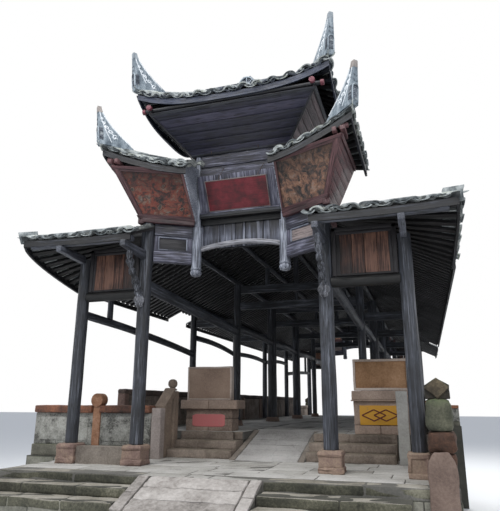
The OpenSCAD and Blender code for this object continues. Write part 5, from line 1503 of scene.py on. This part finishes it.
# Centre box: closed boarding behind the plaque, with two beams across its front. The plaque's
# surround is planed board, worn pale.
dress(packed_beam, "centre_box")
inner = hang_x - 0.0752
low = [(-inner, 0.485, 5.985), (-inner, 0.485, 6.275), (-inner, 0.505, 6.225), (-inner, 0.475, 5.165)]
high = [(inner, 0.56, 6.225), (inner, 0.56, 6.555), (inner, 0.56, 6.275), (inner, 0.6, 5.195)]
add_piece("front_beams", at_gates(worn_blocks(low, high, 0.016, 9, 0.4, 0.003, 14)), beam_wood)
back_corners = [(-inner, hang_y + 0.02, 5.19), (inner, hang_y + 0.02, 5.19), (inner, 0.3, 5.98), (-inner, 0.3, 5.98)]
low = [(k * 0.366, 0.0, -0.03) for k in range(5)]
high = [((k + 1) * 0.366 - 0.005, 0.84, 0.004) for k in range(5)]
surround = on_patch(plain_blocks(low, high, 0.005, 4, spread=0.1), back_corners, 1.83, 0.84)
add_piece("plaque_surround", at_gates(surround), beam_wood)

# The ledge the name board stands on, and below it a blackened strip over the top of the screen boards that stands in
# for the ledge's shadow: a painted shadow.
points, quads = blocks([(-inner, 0.5, 5.07), (-inner, 0.615, 4.945)], [(inner, 0.6, 5.162), (inner, 0.66, 5.075)],
    0.01, 8)
add_piece("ledge_and_shadow_strip", at_gates(joined(points, quads)), black_log)

# Lintel: wide upright boards over the passage, above a slim log that bows upwards.
edges = np.array([-0.96, -0.88, -0.5, -0.14, 0.03, 0.09, 0.5, 0.96])
low = [(a + 0.006, 0.65 - 0.012 * (k in (0, 4)), 4.42) for k, a in enumerate(edges[:-1])]
high = [(b - 0.006, 0.68, 5.065) for b in edges[1:]]
screen = plain_blocks(low, high, 0.006, 5, spread=0.05)
# Each board has a tone of its own, and the top of the screen under the ledge is darkened: painted shadow of the ledge.
screen.tone[:] += np.repeat([0.16, -0.03, 0.03, -0.02, 0.2, 0.02, 0.03],
    len(screen.tone) // 7) - 0.3 * np.clip((screen.points[:, 2] - 4.72) / 0.3, 0, 1)
lintel = log((-inner, 0.595, 4.385), (inner, 0.595, 4.385), 0.055, 95, 18, 26, 0.11)
blue_board = timber("grey_blue_screen_boards", {0.34: "#0f1015", 0.46: "#33353f", 0.58: "#666a77", 0.76: "#a6a9b5"},
    streak_mm=70, share=0.5, bare="#a4a7b4")
pale_log = timber("pale_grey_lintel_log", {0.3: "#505055", 0.46: "#84848a", 0.6: "#a6a6ac", 0.8: "#c6c6cc"},
    bare="#cdcdd3")
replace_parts(add_piece("screen_boards", at_gates(screen), blue_board), "lintel_screen")
add_piece("lintel_log", at_gates(lintel), pale_log)

# Name board: one plank lacquered red, left bare, in a thin pale edge, leaning forward on the
# ledge and held by two wires from the beam.
foot_z = 5.23
foot_y = hang_y + 0.02 - 0.04 * 0.27 / 0.79
tilt = math.radians(30)
red_lacquer, node, place = new_finish("worn_red_lacquer")
long_place = node("Mapping", {"Vector": place, "Scale": (3.0, 40.0, 40.0)})
brushed = node("TexNoise", {"Vector": long_place, "Scale": 1.0, "Detail": 6.0})
faded = node("TexNoise", {"Vector": place, "Scale": 3.5, "Detail": 7.0, "Roughness": 0.65})
level = node("Math", {0: brushed, 1: 0.3, 2: faded}, operation="MULTIPLY_ADD")
red = node("ValToRGB", {"Fac": level}, stops={0.42: "#240409", 0.56: "#4b0a15", 0.7: "#65101d", 0.9: "#7c2a35"})
closed(red_lacquer, node, red, 0.5, level, 0.25, 0.008)
face = tilted(plain_blocks((-0.685, -0.04, 0.015), (0.685, 0, 0.665), 0.006, 8), (foot_y, foot_z), tilt)
low = [(-0.7, -0.045, 0), (-0.7, -0.045, 0.66), (-0.7, -0.045, 0), (0.682, -0.045, 0)]
high = [(0.7, -0.003, 0.02), (0.7, -0.003, 0.68), (-0.682, -0.003, 0.68), (0.7, -0.003, 0.68)]
rim = tilted(plain_blocks(low, high, 0.006, 4), (foot_y, foot_z), tilt)
pale_rim = timber("worn_board_edge", {0.3: "#443a39", 0.5: "#6c615f", 0.8: "#958b88"}, bare="#a39b98", share=0.3)
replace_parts(add_piece("name_board", at_gates(face), red_lacquer), "plaque")
add_piece("name_board_edge", at_gates(rim), pale_rim)
wires = [tube(np.linspace((x0, 0.47, 6.2), (x1, 0.17, 5.82), 6), 0.006, 8) for x0, x1 in ((-0.36, -0.37), (0.57, 0.51))]
rods = [tube(np.linspace((x, 0.44, 6.56), (x, 0.34, 6.98), 6), 0.008, 8, lean_x) for x in (-0.65, 0.45)]
iron, node, place = new_finish("rusted_iron_wire")
rust = node("TexNoise", {"Vector": place, "Scale": 30.0, "Detail": 5.0})
tint = node("ValToRGB", {"Fac": rust}, stops={0.35: "#2a2522", 0.6: "#55463d", 0.8: "#7b6a5d"})
skin = node("BsdfPrincipled", {"Base Color": tint, "Roughness": 0.7, "Metallic": 0.4})
node("OutputMaterial", {"Surface": skin})
add_piece("board_wires", at_gates(*wires, *rods), iron)

# Top boarding: wide planks nailed level on the four flaring sides of the box, under a moulded
# strip, with edge boards over the corner joints and red purlin ends at the eaves.
top_x, rim_y, box_mid, box_back = 1.87, -0.28, 1.225, 1.9
flare_low, flare_high = 6.56, 7.39
y0, y1 = hang_y - 0.06, box_back + 0.06
low_ring = [(-1.11, y0), (1.11, y0), (1.11, y1), (-1.11, y1)]
high_ring = [(-top_x, rim_y), (top_x, rim_y), (top_x, 2 * box_mid - rim_y), (-top_x, 2 * box_mid - rim_y)]
planks, strips, corner_boards = [], [], []
for k in range(4):
    n = (k + 1) % 4
    corners = [(*low_ring[k], flare_low), (*low_ring[n], flare_low), (*high_ring[n], flare_high),
        (*high_ring[k], flare_high)]
    length = float(np.hypot(*np.subtract(high_ring[n], high_ring[k])))
    count, tall = (6, 1.13) if k % 2 == 0 else (6, 1.1)
    width = tall / count
    low = [(0.0, j * width, -0.045) for j in range(count)]
    high = [(length, (j + 1) * width - 0.006, 0.002 + 0.004 * (j % 2)) for j in range(count)]
    planks.append(on_patch(plain_blocks(low, high, 0.006, 5, spread=0.12), corners, length, tall))
    low = [(0.0, tall - 0.075, 0.0), (0.0, 0, 0.0)]
    high = [(length, tall, 0.03), (length, 0.06, 0.02)]
    strips.append(on_patch(plain_blocks(low, high, 0.008, 4), corners, length, tall))
    foot, head = np.array(corners[1]), np.array(corners[2])
    corner_boards.append(tube(np.linspace(foot, head, 6), 0.022, 8, lean_x))
purple_board = timber("dark_purple_brown_boards", {0.3: "#0f1018", 0.46: "#20202f", 0.6: "#323144", 0.8: "#524d5c"},
    streak_mm=30, bare="#6b6a7b", share=0.2)
brown_return = timber("brown_return_boards", {0.3: "#2c2527", 0.46: "#4a3f42", 0.6: "#68595a", 0.8: "#8a7472"},
    streak_mm=30, bare="#93837f", share=0.3)
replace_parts(add_piece("top_boarding_fronts", at_gates(planks[0], planks[2]), purple_board), "top_flares")
add_piece("top_boarding_returns", at_gates(planks[1], planks[3]), brown_return)
add_piece("top_boarding_strips", at_gates(*strips, *corner_boards), dark_fascia)

eave_half, eave_y, eave_top, sweep, crest_half, crest_rise = 2.2, 0.35, 7.52, 0.34, 1.15, 0.96
roof_depth = box_mid + eave_y
ends, red_ends = [], []
for s in (-1, 1):
    line_y = box_mid + s * (box_mid - rim_y - 0.04)
    ends.append(log((-eave_half + 0.16, line_y, 7.47), (eave_half - 0.16, line_y, 7.47), 0.045, 100 + s, 14, 20))
    ends.append(log((s * 1.83, rim_y - 0.12, 7.47), (s * 1.83, 2 * box_mid - rim_y + 0.12, 7.47), 0.045, 103 + s, 14,
        20))
    for t in (-1, 1):
        red_ends.append(tube([(t * (eave_half - 0.22), line_y, 7.47), (t * (eave_half - 0.15), line_y, 7.47),
            (t * (eave_half - 0.148), line_y, 7.47)], [0.06, 0.06, 0.05], 18))
        red_ends.append(tube([(t * 1.83, box_mid + s * (box_mid - rim_y + 0.07), 7.47),
            (t * 1.83, box_mid + s * (box_mid - rim_y + 0.14), 7.47),
            (t * 1.83, box_mid + s * (box_mid - rim_y + 0.142), 7.47)], [0.06, 0.06, 0.05], 18))
add_piece("top_purlins", at_gates(*ends), dark_fascia)
faded_red = timber("faded_red_purlin_ends", {0.3: "#3d1f26", 0.5: "#6a323d", 0.7: "#8a4a55", 0.9: "#a2707a"},
    bare="#a97e86", share=0.3)
add_piece("purlin_ends", at_gates(*red_ends), faded_red)


# Top roof: a hipped roof over each gateway. Its eaves rise to the corners, and cover tiles in
# lime run down the hips to the horns.
def top_side(k):
    """One of the four sides of the top roof: front, right, back, left."""
    def surface(along, up):
        s = 2 * along - 1 + 0 * up
        lift = sweep * np.abs(s) ** 3
        if k % 2 == 0:
            foot = xyz(s * eave_half, -roof_depth, lift)
            head = xyz(s * crest_half, -0.06, crest_rise)
        else:
            foot = xyz(eave_half, s * roof_depth, lift)
            head = xyz(crest_half + 0.04 * (1 - s * s), s * 0.06, crest_rise)
        points = foot + (head - foot) * up[..., None]
        points[..., 2] -= 0.06 * np.sin(math.pi * up)
        if k > 1:
            points = points * (-1, -1, 1)
        return points + (0, gate_y + box_mid, terrace_z + eave_top + roof_t)
    return surface


top_tiles, top_rafters, top_fascias = [], [], []
for k in range(4):
    surface = top_side(k)
    length, depth = (2 * eave_half, 1.85) if k % 2 == 0 else (2 * roof_depth, 1.45)
    top_tiles.append(tiled(surface, length, depth, 0.245, 0.145, 0.04, 0.036, seed=10 + k))
    top_rafters.append(rafters(surface, length, 0.245))
    top_fascias.append(fascia_board(surface, 0.08, 0, 1, steps=40))
top_tile_clay = clay_tiles("blue_grey_top_tiles", {0.25: "#2c3038", 0.45: "#464b54", 0.62: "#646972",
    0.85: "#8b8f92"}, "#a7adad")
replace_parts(add_piece("top_roof_tiles", far_too(top_tiles), top_tile_clay), "top_roof")
top_ends = [part for k in range(4) for part in eave_tiles(top_side(k), (4.4, 2.75)[k % 2], 0.335, 64 + k, 0.128)]
add_piece("top_eave_tiles", far_too(top_ends), pale_ends)
add_piece("top_roof_rafters", far_too(top_rafters), rafter_wood)
add_piece("top_fascias", far_too(top_fascias), blue_fascia)


# Lime work: hips, ridge ends and horns are built up in lime plaster over tiles, then moulded
# with scrolls. It has weathered from white to grey, dark in the hollows.
def lime(name, stops):
    """Lime plaster, trowelled and modelled by hand: chalky, matt, streaked by rain."""
    finish, node, place = new_finish(name)
    streak_place = node("Mapping", {"Vector": place, "Scale": (7.0, 7.0, 1.6)})
    streak = node("TexNoise", {"Vector": streak_place, "Scale": 1.0, "Detail": 6.0, "Roughness": 0.7})
    pits = node("TexNoise", {"Vector": place, "Scale": 24.0, "Detail": 6.0, "Roughness": 0.7})
    tone = node("Attribute", {}, attribute_name="tone")
    level = node("Math", {0: pits, 1: 0.45, 2: streak}, operation="MULTIPLY_ADD")
    level = node("Math", {0: level, 1: tone.outputs["Fac"]}, operation="ADD")
    base = node("ValToRGB", {"Fac": level}, stops=stops)
    return closed(finish, node, base, 0.9, level, 0.5, 0.012)


white_lime = lime("weathered_white_lime", {0.42: "#586067", 0.58: "#838c94", 0.72: "#a9b3ba", 0.9: "#ccd4d8"})
dark_lime = lime("blackened_lime_relief", {0.4: "#1b2026", 0.6: "#353d45", 0.85: "#5d666e"})
relief_lime = lime("white_relief_lime", {0.42: "#a3abb1", 0.58: "#cdd5da", 0.72: "#e8edf0", 0.9: "#f4f6f7"})
tip_lime = lime("grey_brown_tip_lime", {0.4: "#5b5450", 0.6: "#867e79", 0.85: "#a9a19b"})
grey_tip = lime("grey_tip_lime", {0.4: "#4f565c", 0.6: "#7d858b", 0.85: "#a3abb0"})
grey_lime = lime("weathered_grey_lime", {0.42: "#2f373e", 0.58: "#566069", 0.72: "#7d8890", 0.9: "#aab4ba"})
dress(grey_lime, "roof_horns")


def half_round(path, radius):
    """A run of cover tiles in lime along a line: a half-round section with small rolls."""
    path = np.asarray(path, float)
    share = np.linspace(0, 1, len(path))
    sink, roll = 0.01, 0.12
    bead = radius * (1 + roll * np.abs(np.sin(share * len(path) * 0.5)))
    return tube(path - (0, 0, sink), bead, 12, (0.3, 0.1, 1.0))


hips = []
for surface in (top_side(0), top_side(2)):
    for along in (0.0, 1.0):
        up = np.linspace(0.34, 1.0, 40)
        hips.append(half_round(surface(np.full((1, 1), along), up[None, :])[0], 0.07))
up = np.linspace(0.33, 1.0, 34)
wing_hip = half_round(wing_surface(np.full((1, 1), 0.6), up[None, :])[0], 0.06)
add_piece("lime_hips", far_too(hips) + far_too(both_sides([wing_hip])), white_lime)

top_z = eave_top + roof_t + crest_rise
low, high = coursed(2 * crest_half, 0.15, 0.03, 0.24, 51, 0.006)
points, quads = sharp_blocks(xyz(low[:, 0] - crest_half, box_mid - 0.06, low[:, 1] + top_z),
    xyz(high[:, 0] - crest_half, box_mid + 0.06, high[:, 1] + top_z))
add_piece("top_ridge_courses", at_gates(joined(points, quads, 0.15)), top_tile_clay)

# Ridge ornament: thin tiles stacked in steps, with two lime rings and a small lime fan on its
# face towards the street.
crown_low, crown_high = top_z + 0.03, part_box("roof_horns")[1].z - terrace_z - 0.004
low, high = [], []
for layer in range(8):
    reach = 0.34 - 0.03 * layer - 0.03 * (layer > 3)
    z = crown_low + (crown_high - crown_low) * layer / 8
    for s in np.arange(-reach, reach - 0.02, 0.1):
        low.append((s - 0.06 + 0.003, box_mid - 0.055, z))
        high.append((min(s + 0.1, reach) - 0.06, box_mid + 0.055, z + (crown_high - crown_low) / 8 - 0.006))
pile = joined(*sharp_blocks(low, high), 0.15)
bow = np.linspace(0, math.pi, 24)
rings = [tube(xyz(r * np.cos(bow) - 0.06, box_mid - 0.07, crown_low + 0.01 + 1.15 * r * np.sin(bow)), t, 8, lean_y)
    for r, t in ((0.2, 0.022), (0.07, 0.014))]
spokes = []
for c, d in ((-0.7, 0.7), (0, 1), (0.7, 0.7)):
    ends = [(r * c - 0.06, box_mid - 0.07, crown_low + 0.03 + rise) for r, rise in ((0.06, 0), (0.19, 0.19 * d))]
    spokes.append(tube(np.linspace(*ends, 6), 0.012, 8, lean_y))
add_piece("ridge_ornament_tiles", at_gates(pile), top_tile_clay)
add_piece("ridge_ornament_lime", at_gates(*rings, *spokes), white_lime)


# Horns: each has a niche of thin tiles in its outer edge, framed and topped by modelled
# scrolls that have gone black, pale scrolls in relief on its flanks, and a tip of bare mortar.
def curl(middle, radius, turns, start):
    """Points of a scroll in a plane: a spiral that opens from its middle."""
    spin = np.linspace(0, turns * 2 * math.pi, 16)
    reach = radius * (0.15 + 0.85 * spin / spin[-1])
    return middle[0] + reach * np.cos(spin + start), middle[1] + reach * np.sin(spin + start)


def horn_trim(tall, foot_rise):
    """Niche courses, lime frame, dark scrolls, tip and pale relief of one horn, by finish."""
    half_w = lambda z: (0.19 + (0.084 - 0.19) * (z + 0.1) / (tall + 0.11)) / 2
    outer = lambda z: np.interp(z, [0.12 * tall, 0.4 * tall, tall], [0.075, 0.1, 0.15])
    inner_edge = lambda z: 0.07 - 0.75 * (1 - np.clip((z - foot_rise) / (tall - foot_rise), 0, 1)) ** 1.6
    zs = np.arange(0.1, 0.36, 0.036)
    low = [(0.0, -0.058, z) for z in zs]
    courses = [joined(*sharp_blocks(low, [(outer(z) + 0.004, 0.058, z + 0.026) for z in zs]), 0.15)]
    for side in (-1, 1):
        near = [(outer(z) - 0.1, side * (half_w(z) - 0.03), z) for z in zs]
        far = [(outer(z) - 0.012, side * (half_w(z) + 0.004), z + 0.026) for z in zs]
        flank = joined(*sharp_blocks(*np.sort([near, far], 0)), 0.15)
        courses.append(flank)
    arch = np.concatenate([[(-0.064, 0.08)], [(-0.064, 0.33)],
        [(0.064 * -math.cos(a), 0.33 + 0.075 * math.sin(a)) for a in np.linspace(0.3, 2.84, 9)], [(0.064, 0.33)],
        [(0.064, 0.08)]])
    frame = tube([(outer(z) + 0.004, y, z) for y, z in arch], 0.011, 8, lean_x)
    dark = [tube([(outer(z) + 0.0105, y * 0.84, z * 0.985) for y, z in arch[1:-1]], 0.006, 6, lean_x)]
    for z, size in ((0.47, 0.028), (0.575, 0.022)):
        for side in (-1, 1):
            across, up = curl((side * 0.027, z), size, 0.8, 2.2 * side)
            dark.append(tube(xyz(outer(up) + 0.001, across, up), 0.0055, 6, lean_x))
    relief = []
    for side in (-1, 1):
        for z, share, size in ((0.2, 0.62, 0.055), (0.3, 0.56, 0.05), (0.4, 0.5, 0.045), (0.5, 0.45, 0.035),
                (0.6, 0.45, 0.03)):
            middle = inner_edge(z) + (outer(z) - inner_edge(z)) * (1 - share)
            out, up = curl((middle, z), size, 1.1, z * 9)
            relief.append(tube(xyz(out, side * (half_w(up) + 0.001), up), 0.014, 5, lean_y))
            relief.append(tube(xyz(out[-6:] - 0.02, side * (half_w(up[-6:]) + 0.001), up[-6:] - 0.06), 0.012, 5,
                lean_y))
        line = np.linspace(foot_rise + 0.02, tall * 0.84, 12)
        for share, thick in ((0.06, 0.014), (0.62, 0.011)):
            across = inner_edge(line) + share * (outer(line) - inner_edge(line))
            relief.append(tube(xyz(across, side * (half_w(line) - 0.001), line), thick, 5, lean_y))
    points, quads = blocks((0, -1, 0), (1, 1, 1), 0.04, 6)
    z = tall * 0.84 + (tall * 0.16 - 0.002) * points[..., 2]
    left, right = inner_edge(z) - 0.004, outer(z) + 0.002
    points = xyz(left + (right - left) * points[..., 0], points[..., 1] * (half_w(z) + 0.004), z)
    return courses, [frame], dark, [joined(points, quads)], relief


horns = []
for sx in (-1, 1):
    for sy in (-1, 1):
        horns.append(((sx * eave_half, box_mid + sy * roof_depth, eave_top + roof_t + sweep),
            math.atan2(sy * 0.505, sx * 0.35), 0.93, 0.21))
    turn = math.atan2(-0.5, 0.522)
    horns.append(((sx * 2.66, -0.86, 6.46), turn if sx > 0 else math.pi - turn, 0.8835, 0.05))
trims = []
for corner, turn, tall, rise in horns:
    trims += [[swung(part, turn, corner) for part in group] for group in horn_trim(tall, rise)]
wing_tips, top_tips = trims[13::15], trims[3::15] + trims[8::15]
for name, groups, finish in (("horn_niche_tiles", trims[0::5], top_tile_clay),
        ("horn_frames", trims[1::5], white_lime), ("horn_scrolls", trims[2::5], dark_lime),
        ("wing_horn_tips", wing_tips, tip_lime), ("top_horn_tips", top_tips, grey_tip),
        ("horn_reliefs", trims[4::5], relief_lime)):
    add_piece(name, at_gates(*[part for group in groups for part in group]), finish)

size = {"cad": [list(map(float, c)) for c in cad_box], "scene": [list(map(float, c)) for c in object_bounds()]}
